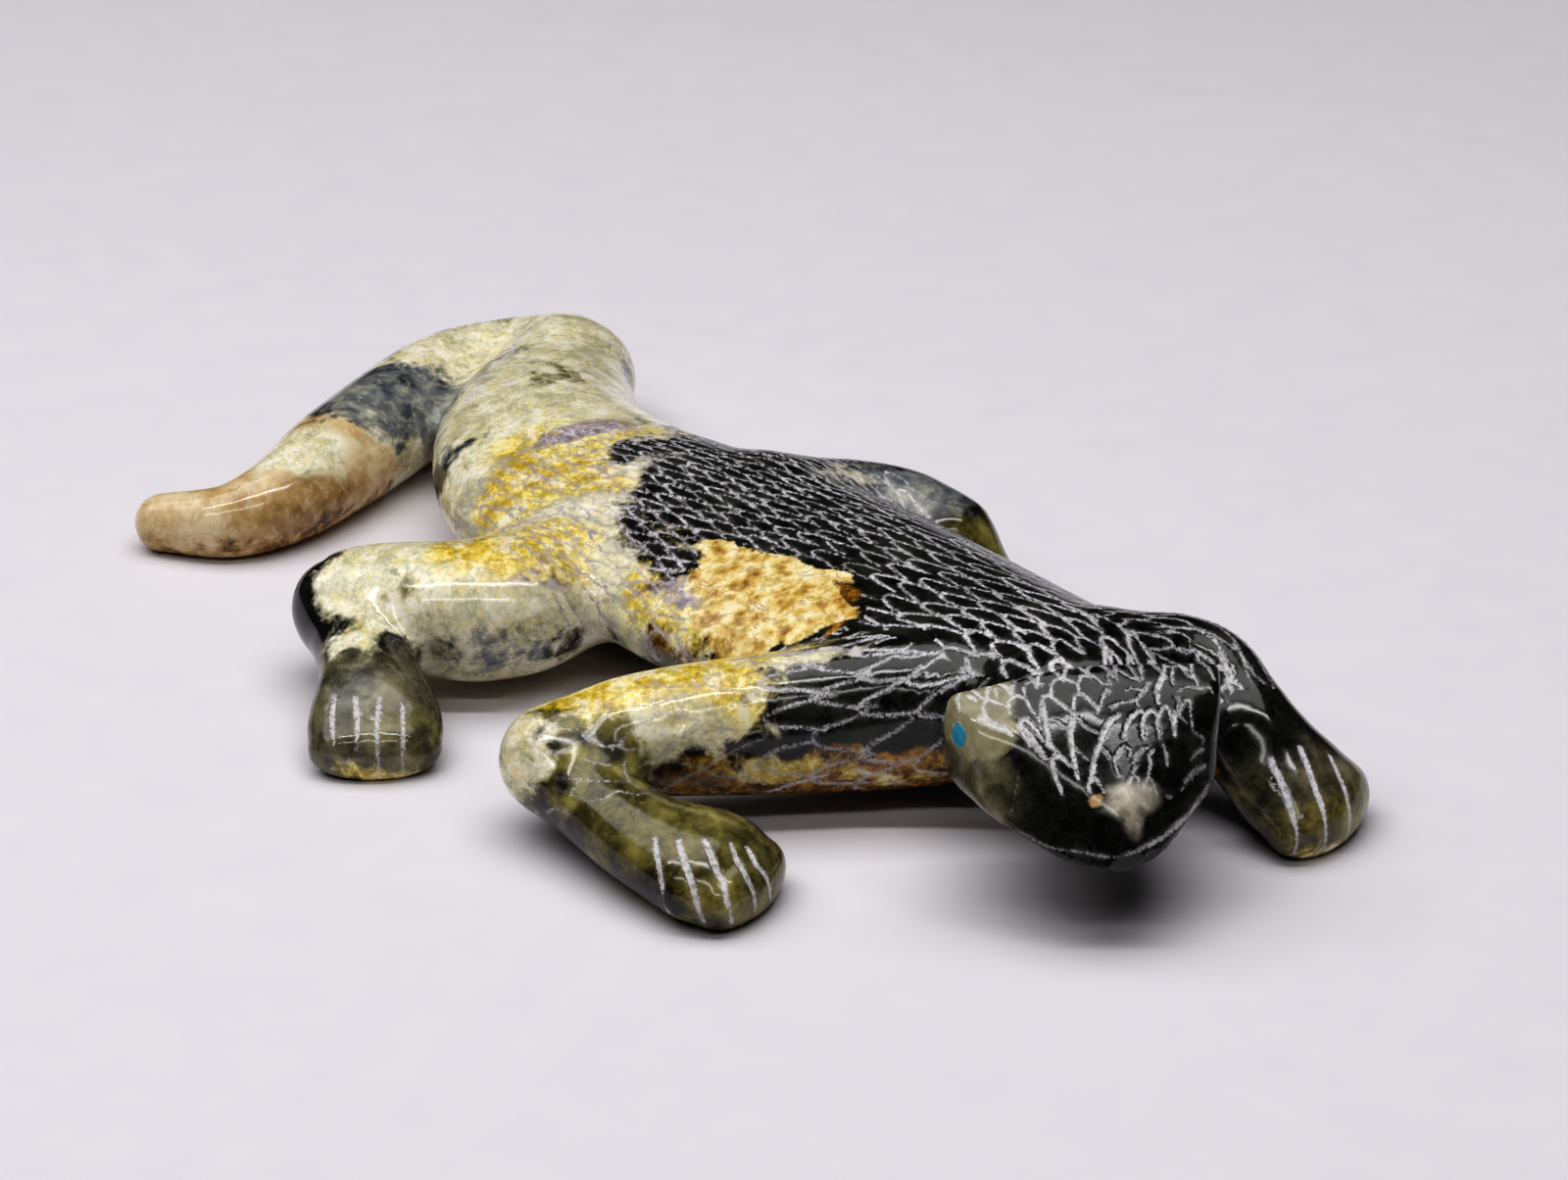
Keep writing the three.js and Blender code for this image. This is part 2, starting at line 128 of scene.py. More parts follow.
# %% Card
card = new_material("matte_lilac_white_card")
fibre = add(card, "ShaderNodeTexNoise", {"Scale": 1.1 / MM, "Detail": 2.0})
tone = add(card, "ShaderNodeMix", {
    "Factor": fibre, "A": linear("#E2DEE4"), "B": linear("#E7E4E9")}, data_type="RGBA")
sheet = add(card, "ShaderNodeBsdfPrincipled", {
    "Base Color": tone, "Roughness": 0.85, "Specular IOR Level": 0.2})
add(card, "ShaderNodeOutputMaterial", {"Surface": sheet})
CARD_HALF = 3  # metres, so that no view shows its edge
card_corners = [(x * CARD_HALF, y * CARD_HALF, 0) for x, y in ((-1, -1), (1, -1), (1, 1), (-1, 1))]
card_mesh = bpy.data.meshes.new("card_sheet")
card_mesh.from_pydata(card_corners, [], [(0, 1, 2, 3)])
card_sheet = bpy.data.objects.new("card_sheet", card_mesh)
bpy.context.collection.objects.link(card_sheet)
card_mesh.materials.append(card)
print("card:", 2 * CARD_HALF, "m square, its top on the floor")

# %% Lamps
aside = math.radians(LOOKS_ASIDE)
BEHIND = Vector((math.sin(aside), math.cos(aside), 0))  # away from the camera
RIGHT = Vector((BEHIND.y, -BEHIND.x, 0))


def soft_lamp(name, behind, right, up, width, depth, watts):
    """A rectangular lamp, places and sizes in mm as seen from the camera, aimed at the carving."""
    lamp = bpy.data.objects.new(name, bpy.data.lights.new(name, "AREA"))
    lamp.data.shape = "RECTANGLE"
    lamp.data.size, lamp.data.size_y = width * MM, depth * MM
    lamp.data.energy = watts
    place = (BEHIND * behind + RIGHT * right + Vector((0, 0, up))) * MM
    lamp.location = place
    z = place.normalized()
    x = (RIGHT - z * RIGHT.dot(z)).normalized()
    y = z.cross(x)
    lamp.rotation_euler = Matrix((x, y, z)).transposed().to_euler()
    bpy.context.collection.objects.link(lamp)


LAMPS = {
    # name: how far behind the carving, to its right and up; width and depth; watts
    "box_roof": (110, -110, 500, 900, 300, 1.5),
    "lamp_bar_above": (-80, -20, 420, 560, 20, 0.6),
    "lamp_bar_near": (-290, -60, 400, 560, 20, 0.32),
}
for name, settings in LAMPS.items():
    soft_lamp(name, *settings)
room = bpy.data.worlds.new("dark_room")
bpy.context.scene.world = room
room.use_nodes = True
background = room.node_tree.nodes["Background"]
background.inputs["Color"].default_value = linear("#F2F0F6")
background.inputs["Strength"].default_value = 0.02
bpy.context.scene.view_settings.view_transform = "Standard"
bpy.context.scene.view_settings.look = "High Contrast"

# %% [markdown]
# ## The form of the stone
# The stone could be sculpted by hand, but then nothing would tie its skin to the solids. So its form
# is distance arithmetic on the same centre lines and facets as the solids: every limb is an oval
# tube along a smooth line, the head is a block of ten ground facets, and all flow together.
# A row below is a station of a limb: across, along and up in hundredths of the spread, length and
# height, then half the section's width and depth in hundredths of half the limb's own.

# %% Sizes and stations, in millimetres
SPREAD, LENGTH, HEIGHT = 69.6, 113.6, 16.0
MIDDLE = np.array([0.307, 1.135, 0.0])
LIMBS = {
    "torso": (25.6, 12.0, [
        [20.5, -33, 63.5, 56, 80], [20.4, -27.7, 57.5, 77, 87], [15.3, -18.2, 50, 100, 93],
        [7.9, -3.6, 45, 113, 100], [2.4, 5.9, 45, 102, 100], [-2.9, 15.8, 43.1, 94, 98],
        [-2.2, 26.6, 40, 73, 95], [4.5, 36.3, 35, 56, 87], [9.4, 41.2, 31.2, 41, 80]]),
    "tail": (10.0, 9.2, [
        [9.4, 41.2, 31.2, 104, 104], [9.8, 44.1, 29, 94, 102], [4.9, 46.2, 27, 86, 99],
        [-4.6, 45.2, 26.6, 92, 100], [-14.5, 39.9, 26.6, 100, 100], [-24.3, 34.8, 25.4, 94, 96],
        [-32.6, 31, 21.8, 76, 83], [-39.9, 30, 17.6, 62, 67], [-46.8, 32.6, 14.2, 48, 54]]),
    "right_arm": (9.8, 9.6, [
        [14.2, -25.4, 47.5, 112, 122], [3, -23.7, 43.8, 100, 117], [-8.9, -21.5, 42.5, 98, 108],
        [-21.1, -19.8, 41.2, 94, 92], [-29.1, -19.6, 36.2, 73, 75]]),
    "right_forefoot": (11.2, 6.8, [
        [-29.1, -19.6, 36.2, 64, 106], [-27.2, -24.2, 27.5, 61, 94], [-24.6, -28.6, 22.5, 71, 94],
        [-20.5, -31.9, 17.5, 100, 100], [-18.1, -33.7, 12.5, 95, 82]]),
    "left_arm": (9.8, 9.6, [
        [29.8, -28.9, 56.2, 122, 104], [35.8, -29.3, 56.2, 98, 92], [38.7, -31.2, 53.8, 73, 79],
        [39.5, -34.8, 38.8, 69, 71]]),
    "left_forefoot": (11.2, 6.8, [
        [39.5, -34.8, 38.8, 61, 100], [41.5, -37.2, 25.5, 88, 106], [43.8, -39.2, 13.8, 105, 95]]),
    "right_thigh": (12.6, 10.8, [
        [3.1, 8.8, 45, 73, 81], [-7.8, 5.8, 43.8, 79, 85], [-17.6, 2.7, 40.6, 95, 98],
        [-22.9, 2.3, 40, 100, 100], [-27.5, 3.1, 40, 92, 98], [-34.8, 6.5, 40.6, 73, 80],
        [-38.3, 7.2, 36.2, 51, 67]]),
    "right_hindfoot": (10.0, 6.2, [
        [-38.3, 7.2, 36.2, 64, 116], [-39.1, 0.5, 27.5, 72, 103], [-40.8, -4.5, 18.1, 100, 100],
        [-42.2, -7.1, 11.2, 100, 81]]),
    "left_thigh": (12.6, 10.8, [
        [15.1, 6.6, 45, 103, 93], [24.7, 7.2, 42.5, 71, 70], [30.1, 5.2, 38.8, 67, 65],
        [32.8, 2.3, 33.8, 51, 57]]),
    "left_hindfoot": (10.0, 6.2, [
        [32.8, 2.3, 33.8, 64, 100], [33.6, 0.9, 22.5, 72, 97], [34, -0.5, 12.5, 80, 84]]),
}

# %% Centre lines
def smooth_line(rows, steps=8):
    """A Catmull-Rom curve through rows of numbers."""
    p = np.array(rows, float)
    p = np.vstack([2 * p[0] - p[1], p, 2 * p[-1] - p[-2]])
    out = []
    for a, b, c, d in zip(p[:-3], p[1:-2], p[2:-1], p[3:]):
        for t in np.arange(steps) / steps:
            out.append(0.5 * (2 * b + (c - a) * t + (2 * a - 5 * b + 4 * c - d) * t * t
                              + (3 * b - a - 3 * c + d) * t ** 3))
    return np.array(out + [p[-2]])


def centre_line(width, depth, rows):
    scale = np.array([SPREAD, LENGTH, HEIGHT, width / 2, depth / 2]) / 100
    line = smooth_line(np.array(rows, float) * scale)
    at, half = line[:, :3], line[:, 3:]
    way = np.gradient(at, axis=0)
    way /= np.linalg.norm(way, axis=1)[:, None]
    walked = np.concatenate([[0], np.cumsum(np.linalg.norm(np.diff(at, axis=0), axis=1))])
    return {"at": at, "half": half, "way": way, "walked": walked}


lines = {name: centre_line(*limb) for name, limb in LIMBS.items()}
print({name: round(float(line["walked"][-1]), 1) for name, line in lines.items()}, "mm long")

# %% Distance to a limb
def beside(p, line):
    """Where points are by a limb: mm along it, mm to its side, above and past it, and its half sizes."""
    at, nearest, place = line["at"], np.full(len(p), 1e18), np.zeros(len(p))
    for i, (a, b) in enumerate(zip(at[:-1], at[1:])):
        step = b - a
        t = np.clip((p - a) @ step / (step @ step), 0, 1)
        gap = ((p - a - t[:, None] * step) ** 2).sum(1)
        closer = gap < nearest
        nearest[closer] = gap[closer]
        place[closer] = i + t[closer]
    i = np.minimum(place.astype(int), len(at) - 2)
    f = (place - i)[:, None]
    blend = lambda v: v[i] * (1 - f) + v[i + 1] * f
    way = blend(line["way"])
    way /= np.linalg.norm(way, axis=1)[:, None]
    side = np.stack([way[:, 1], -way[:, 0], 0 * way[:, 0]], 1)
    side /= np.linalg.norm(side, axis=1)[:, None]
    gap = p - blend(at)
    half = blend(line["half"])
    along = blend(line["walked"][:, None])[:, 0]
    return (along, (gap * side).sum(1), (gap * np.cross(side, way)).sum(1), (gap * way).sum(1),
            half[:, 0], half[:, 1])


def tube(p, line, reach=6.0):
    """Distance to the oval tube round a centre line, in mm, below zero inside."""
    edge = line["half"].max() + reach
    near = np.all((p > line["at"].min(0) - edge) & (p < line["at"].max(0) + edge), 1)
    out = np.full(len(p), 1e9)
    if near.any():
        _, x, y, z, w, h = beside(p[near], line)
        cap = np.minimum(w, h)
        k0 = np.sqrt((x / w) ** 2 + (y / h) ** 2 + (z / cap) ** 2)
        k1 = np.sqrt((x / w ** 2) ** 2 + (y / h ** 2) ** 2 + (z / cap ** 2) ** 2) + 1e-9
        out[near] = k0 * (k0 - 1) / k1
    return out

# %% The head and the whole stone
HEAD_MIDDLE = np.array([15.5 * SPREAD, -41 * LENGTH, 68.8 * HEIGHT]) / 100
HEAD_HALF = np.array([20.4, 15.0, 9.4]) / 2
HEAD_LEFT_FULLER, HEAD_LEFT_LEAN, HEAD_RIDGE = 1.06, 0.12, 0.4
FACET_ROUNDING = 0.75  # the ground edges are a little crisper than the solid's net can hold
turn, nod = math.radians(-8), math.radians(-10)
AHEAD = np.array([math.sin(turn) * math.cos(nod), -math.cos(turn) * math.cos(nod), math.sin(nod)])
ACROSS = np.cross(AHEAD, [0, 0, 1])
ACROSS /= np.linalg.norm(ACROSS)
ABOVE = np.cross(ACROSS, AHEAD)
FACETS = {
    "crown": [0.34, 0.31, 1.04], "forehead": [0.25, 1.01, 1.15], "snout_side": [0.91, 0.99, 0.49],
    "brow": [0.74, 0.05, 0.38], "cheek": [1.14, 0.22, 0.09], "back_of_cheek": [0.98, -0.15, -0.05],
    "jaw": [0.84, 0.24, -0.67], "underside": [0, 0.24, -1.07], "nose": [0.26, 0.68, -0.1],
    "nape": [0, -1.48, 0.11],
}


def soft_min(a, b, k):
    """The smaller of two distances, rounded over k mm where they meet."""
    h = np.clip(0.5 + 0.5 * (b - a) / k, 0, 1)
    return b + h * (a - b) - k * h * (1 - h)


def in_head(p):
    """Points in the head's own axes: across toward its right, ahead toward the nose, above."""
    return (p - HEAD_MIDDLE) @ np.stack([ACROSS, AHEAD, ABOVE], 1)


def head(p):
    x, y, z = in_head(p).T
    left_half = HEAD_LEFT_FULLER + HEAD_LEFT_LEAN * z / HEAD_HALF[2]
    across = np.hypot(np.where(x < 0, x / np.maximum(left_half, 0.5), x), HEAD_RIDGE)
    q = np.stack([across, y, z], 1)
    out = None
    for facet in FACETS.values():
        n = np.array(facet) / HEAD_HALF
        d = (q @ n - 1) / np.linalg.norm(n)
        out = d if out is None else -soft_min(-out, -d, FACET_ROUNDING)
    return out


LEGS = (("right_arm", "right_forefoot"), ("left_arm", "left_forefoot"),
        ("right_thigh", "right_hindfoot"), ("left_thigh", "left_hindfoot"))
TAIL_BLEND, KNEE_BLEND, HIP_BLEND, NECK_BLEND, SOLE_BLEND = 3.4, 2.0, 2.2, 3.0, 0.3  # mm


def stone(p):
    """Distance to the skin of the whole carving, with its underside ground flat on the floor."""
    d = soft_min(tube(p, lines["torso"]), tube(p, lines["tail"]), TAIL_BLEND)
    for upper, lower in LEGS:
        leg = soft_min(tube(p, lines[upper]), tube(p, lines[lower]), KNEE_BLEND)
        d = soft_min(d, leg, HIP_BLEND)
    d = soft_min(d, head(p), NECK_BLEND)
    return -soft_min(-d, p[:, 2], SOLE_BLEND)


print("middle of the head is inside:", bool(stone(HEAD_MIDDLE[None])[0] < 0))

# %% [markdown]
# ## A fine net
# A net is stretched over the zero level of that distance. The grid is filled in three rounds, each
# looking only near the skin, and every cell that the skin crosses gives one knot. The knots are
# then pulled onto the skin along its slope.

# %% Distances on a grid
CELL = 0.58  # mm
NEAR_SKIN = 4.4  # how many cells from the skin a finer round still looks


def grid_values(low, cells, step, rounds=3):
    """Distances on a grid that starts at low. Far from the skin the coarse rounds' values stand."""
    values = None
    for stride in [2 ** level for level in reversed(range(rounds))]:
        counts = [c // stride + 1 for c in cells]
        ids = np.stack(np.meshgrid(*[np.arange(n) for n in counts], indexing="ij"), -1)
        look, fresh = np.ones(counts, bool), np.zeros(counts)
        if values is not None:
            half = ids // 2
            fresh = values[half[..., 0], half[..., 1], half[..., 2]]
            look = np.abs(fresh) < NEAR_SKIN * step * stride
        fresh[look] = stone(low + ids[look] * step * stride)
        values = fresh
    return values


LOW_CORNER, GRID_SIZE = np.array([-37.5, -58.5, -1.13]), (76, 119.5, 20)
cells = [4 * math.ceil(size / CELL / 4) for size in GRID_SIZE]  # the first round takes every fourth
values = grid_values(LOW_CORNER, cells, CELL)
print("grid", values.shape, "inside", int((values < 0).sum()))

# %% The net
def parts_of_grid(axis):
    first, second = [slice(None)] * 3, [slice(None)] * 3
    first[axis], second[axis] = slice(0, -1), slice(1, None)
    return tuple(first), tuple(second)


def net(f, low, step):
    """A knot in each cell that the skin crosses, and a four-sided mesh round each crossed grid edge."""
    n = np.array(f.shape)
    total, count = np.zeros((*(n - 1), 3)), np.zeros(n - 1)
    for axis in range(3):
        b, c = [k for k in range(3) if k != axis]
        first, second = parts_of_grid(axis)
        crossed = (f[first] < 0) != (f[second] < 0)
        share = np.where(crossed, f[first] / np.where(crossed, f[first] - f[second], 1), 0)
        for db in (0, 1):
            for dc in (0, 1):
                part = [slice(None)] * 3
                part[b], part[c] = slice(db, n[b] - 1 + db), slice(dc, n[c] - 1 + dc)
                hit = crossed[tuple(part)]
                total[..., axis] += np.where(hit, share[tuple(part)], 0)
                total[..., b] += hit * db
                total[..., c] += hit * dc
                count += hit
    used = count > 0
    number = -np.ones(n - 1, int)
    number[used] = np.arange(used.sum())
    knots = (np.argwhere(used) + total[used] / count[used][:, None]) * step + low
    rings = []
    for axis in range(3):
        b, c = (axis + 1) % 3, (axis + 2) % 3
        first, second = parts_of_grid(axis)
        start = f[first] < 0
        edge = np.argwhere(start != (f[second] < 0))
        corners = []
        for db, dc in ((0, 0), (-1, 0), (-1, -1), (0, -1)):
            at = edge.copy()
            at[:, b] += db
            at[:, c] += dc
            corners.append(number[tuple(at.T)])
        ring = np.stack(corners, 1)
        inward = ~start[tuple(edge.T)]
        ring[inward] = ring[inward][:, ::-1]
        rings.append(ring)
    return knots, np.vstack(rings).tolist()


def pull_on(p, rounds=1, reach=0.4):
    """Moves knots onto the skin, none of them below the floor."""
    for _ in range(rounds):
        here, e = stone(p), 0.01
        slope = np.stack([(stone(p + e * axis) - here) / e for axis in np.eye(3)], 1)
        move = -slope * (here / np.maximum((slope ** 2).sum(1), 0.25))[:, None]
        size = np.linalg.norm(move, axis=1)[:, None]
        p = p + move * np.minimum(1, reach / np.maximum(size, 1e-9))
    p[:, 2] = np.maximum(p[:, 2], 0)
    return p


points, rings = net(values, LOW_CORNER, CELL)
points = pull_on(points, rounds=2)
print("knots", len(points), "meshes", len(rings))

# %% [markdown]
# ## Scratches
# The maker drew each scale with one bent scratch: up one side, round the end that faces the tail and
# down the other side. Scratches break the polish and look chalky. A picture of them would blur up
# close and can't follow the form, so each one is a line on a flat chart of the part that it is on,
# in millimetres. Every knot of the skin then learns how far it is from the nearest scratch, and that
# one number both cuts the groove and colours it.

# %% A chart for each part
def charts(p):
    """For points on the skin: places on each chart, and which points that chart may mark."""
    q = p - MIDDLE
    gaps = {name: tube(p, line, 3.0) for name, line in lines.items()}
    gaps["head"] = head(p)
    names = list(gaps)
    owner = np.stack([gaps[name] for name in names], 1).argmin(1)
    on = lambda *some: np.isin(owner, [names.index(s) for s in some])
    unrolled = {}
    for name, limb in (("back", "torso"), ("arm", "right_arm"), ("left_arm", "left_arm")):
        along, x, y, z, _, h = beside(p, lines[limb])
        unrolled[name] = np.stack([along + z, np.sign(x) * np.hypot(x, h - y)], 1)
    local = in_head(p)
    x, y, z = q.T  # the limits below are millimetres, read off the photograph
    bare = (gold_patch(q) < 1.05) & ~on("right_arm")
    shoulder = on("torso", "right_arm") & (y < -24.5) & (x < 5.5 - 0.45 * (y + 31))
    left = on("left_arm") | (on("torso") & (x > 23.5))
    back = on("torso", "left_thigh", "right_thigh", "head", "left_arm") & ~shoulder & ~left & ~bare
    back &= (y < 18 - 0.25 * x) & (z > 5.5) & (x > -19)
    back &= ~(on("head") & (local[:, 1] > -6.2))
    crown = on("head") & (local[:, 2] > -0.4) & (local[:, 1] > -5.7)
    return {
        "back": (unrolled["back"], back),
        "arm": (unrolled["arm"], shoulder & (z > 2.6) & (x > -28)),
        "left_arm": (unrolled["left_arm"], left & (z > 6.5) & (y > -41)),
        "head": (np.stack([-local[:, 1], local[:, 0]], 1), crown),
        "face": (local, on("head")),
        "foot": (q, on("right_forefoot", "right_arm")),
        "plan": (q[:, :2], z > 0.5)}


def gold_patch(q):
    """1 at the lobed edge of the gold patch beside the spine, less inside it."""
    x, y = q[:, 0] + 0.7, q[:, 1] + 15.6  # from its middle
    x, y = (x * 0.94 + y * 0.34) / 5.0, (y * 0.94 - x * 0.34) / 8.0  # turned 20 degrees, 10 by 16 mm
    angle = np.arctan2(y, x)
    lobes = 1 + 0.1 * np.sin(3 * angle + 1.0) + 0.07 * np.sin(5 * angle) + 0.05 * np.sin(8 * angle + 2)
    return np.hypot(x, y) * lobes


SCRATCHES = {name: [] for name in ("back", "arm", "left_arm", "head", "face", "foot", "plan")}
rng = np.random.default_rng(7)


def scratch(chart, stroke, half_width, strength=0.9, copies=1, loose=0.15, ends=(0.75, 0.6), cut=1.0):
    """Puts a scratch on a chart. copies: how often the tool went over it, loose: how far it strayed.
    ends: the share of its width left at either end. cut: its depth beside that of a scale."""
    stroke = np.array(stroke, float)
    for k in range(copies):
        wander = rng.normal(0, loose, (1, stroke.shape[1])) * (k > 0) + rng.normal(0, 0.05, stroke.shape)
        SCRATCHES[chart].append((stroke + wander, half_width * rng.uniform(0.85, 1.15),
                                 strength * rng.uniform(0.85, 1.08), ends, cut))

# %% Rows of scales
def scale(tip_along, middle, width, length, blunt=2.2, steps=9):
    """One bent scratch: from one foot, round the tip, to the other foot. Charts run toward the tail."""
    u = np.linspace(-1, 1, steps)
    skew = rng.uniform(-0.3, 0.3)
    along = tip_along - length * np.abs(u) ** blunt
    across = middle + width / 2 * (u + skew * (1 - u * u))
    return np.stack([along, across], 1)


def rows_of_scales(chart, start, end, low, high, width, pitch, half_width, blunt=2.2, skip=0.03,
                   strength=0.85):
    """Rows between two places on a chart. width, pitch and half_width go by the place along it.
    skip: the share of scales left out."""
    along, row, made = start, 0, 0
    while along < end:
        wide, step = width(along), pitch(along)
        for middle in np.arange(low + (row % 2) * wide / 2, high, wide):
            if rng.random() > skip:
                scratch(chart, scale(along + rng.normal(0, 0.08 * step), middle + rng.normal(0, 0.06 * wide),
                                     wide * rng.uniform(0.85, 1.0), step * rng.uniform(0.95, 1.3), blunt),
                        half_width(along), strength * rng.uniform(0.7, 1.05))
                made += 1
        along += step
        row += 1
    return made


back_width = lambda s: np.interp(s, [0, 20, 34, 60], [2.0, 2.0, 1.4, 1.3])
made = {}
made["back"] = rows_of_scales(
    "back", -5.0, 60.0, -17, 17, back_width, lambda s: 1.7 * back_width(s),
    lambda s: np.interp(s, [0, 16, 36], [0.19, 0.16, 0.12]), 2.8, strength=1.05)
made["right arm"] = rows_of_scales(
    "arm", -4.0, 20.0, -10, 10, lambda s: 2.4, lambda s: np.interp(s, [0, 10, 20], [3.0, 3.8, 4.6]),
    lambda s: 0.13, 2.1, 0.05, 1.0)
made["right elbow"] = rows_of_scales(
    "arm", 20.0, 36.0, -10, 10, lambda s: 2.6, lambda s: 3.6, lambda s: 0.1, 1.7, 0.15, 0.75)
made["left arm"] = rows_of_scales(
    "left_arm", -3.0, 13.0, -10, 10, lambda s: 1.9, lambda s: 2.7, lambda s: 0.14, 2.8, strength=0.95)
made["back of the head"] = rows_of_scales(
    "head", 4.7, 7.2, -9, 8.5, lambda s: 1.9, lambda s: 1.6, lambda s: 0.16)
print("scales in rows:", made)

# %% [markdown]
# ## The head
# The scales on the head are few and large, each one different, so they are listed one by one: how
# thick, how white, how often the tool went over it, and its turns, in millimetres across (toward
# the animal's right) and ahead of the middle of the head.

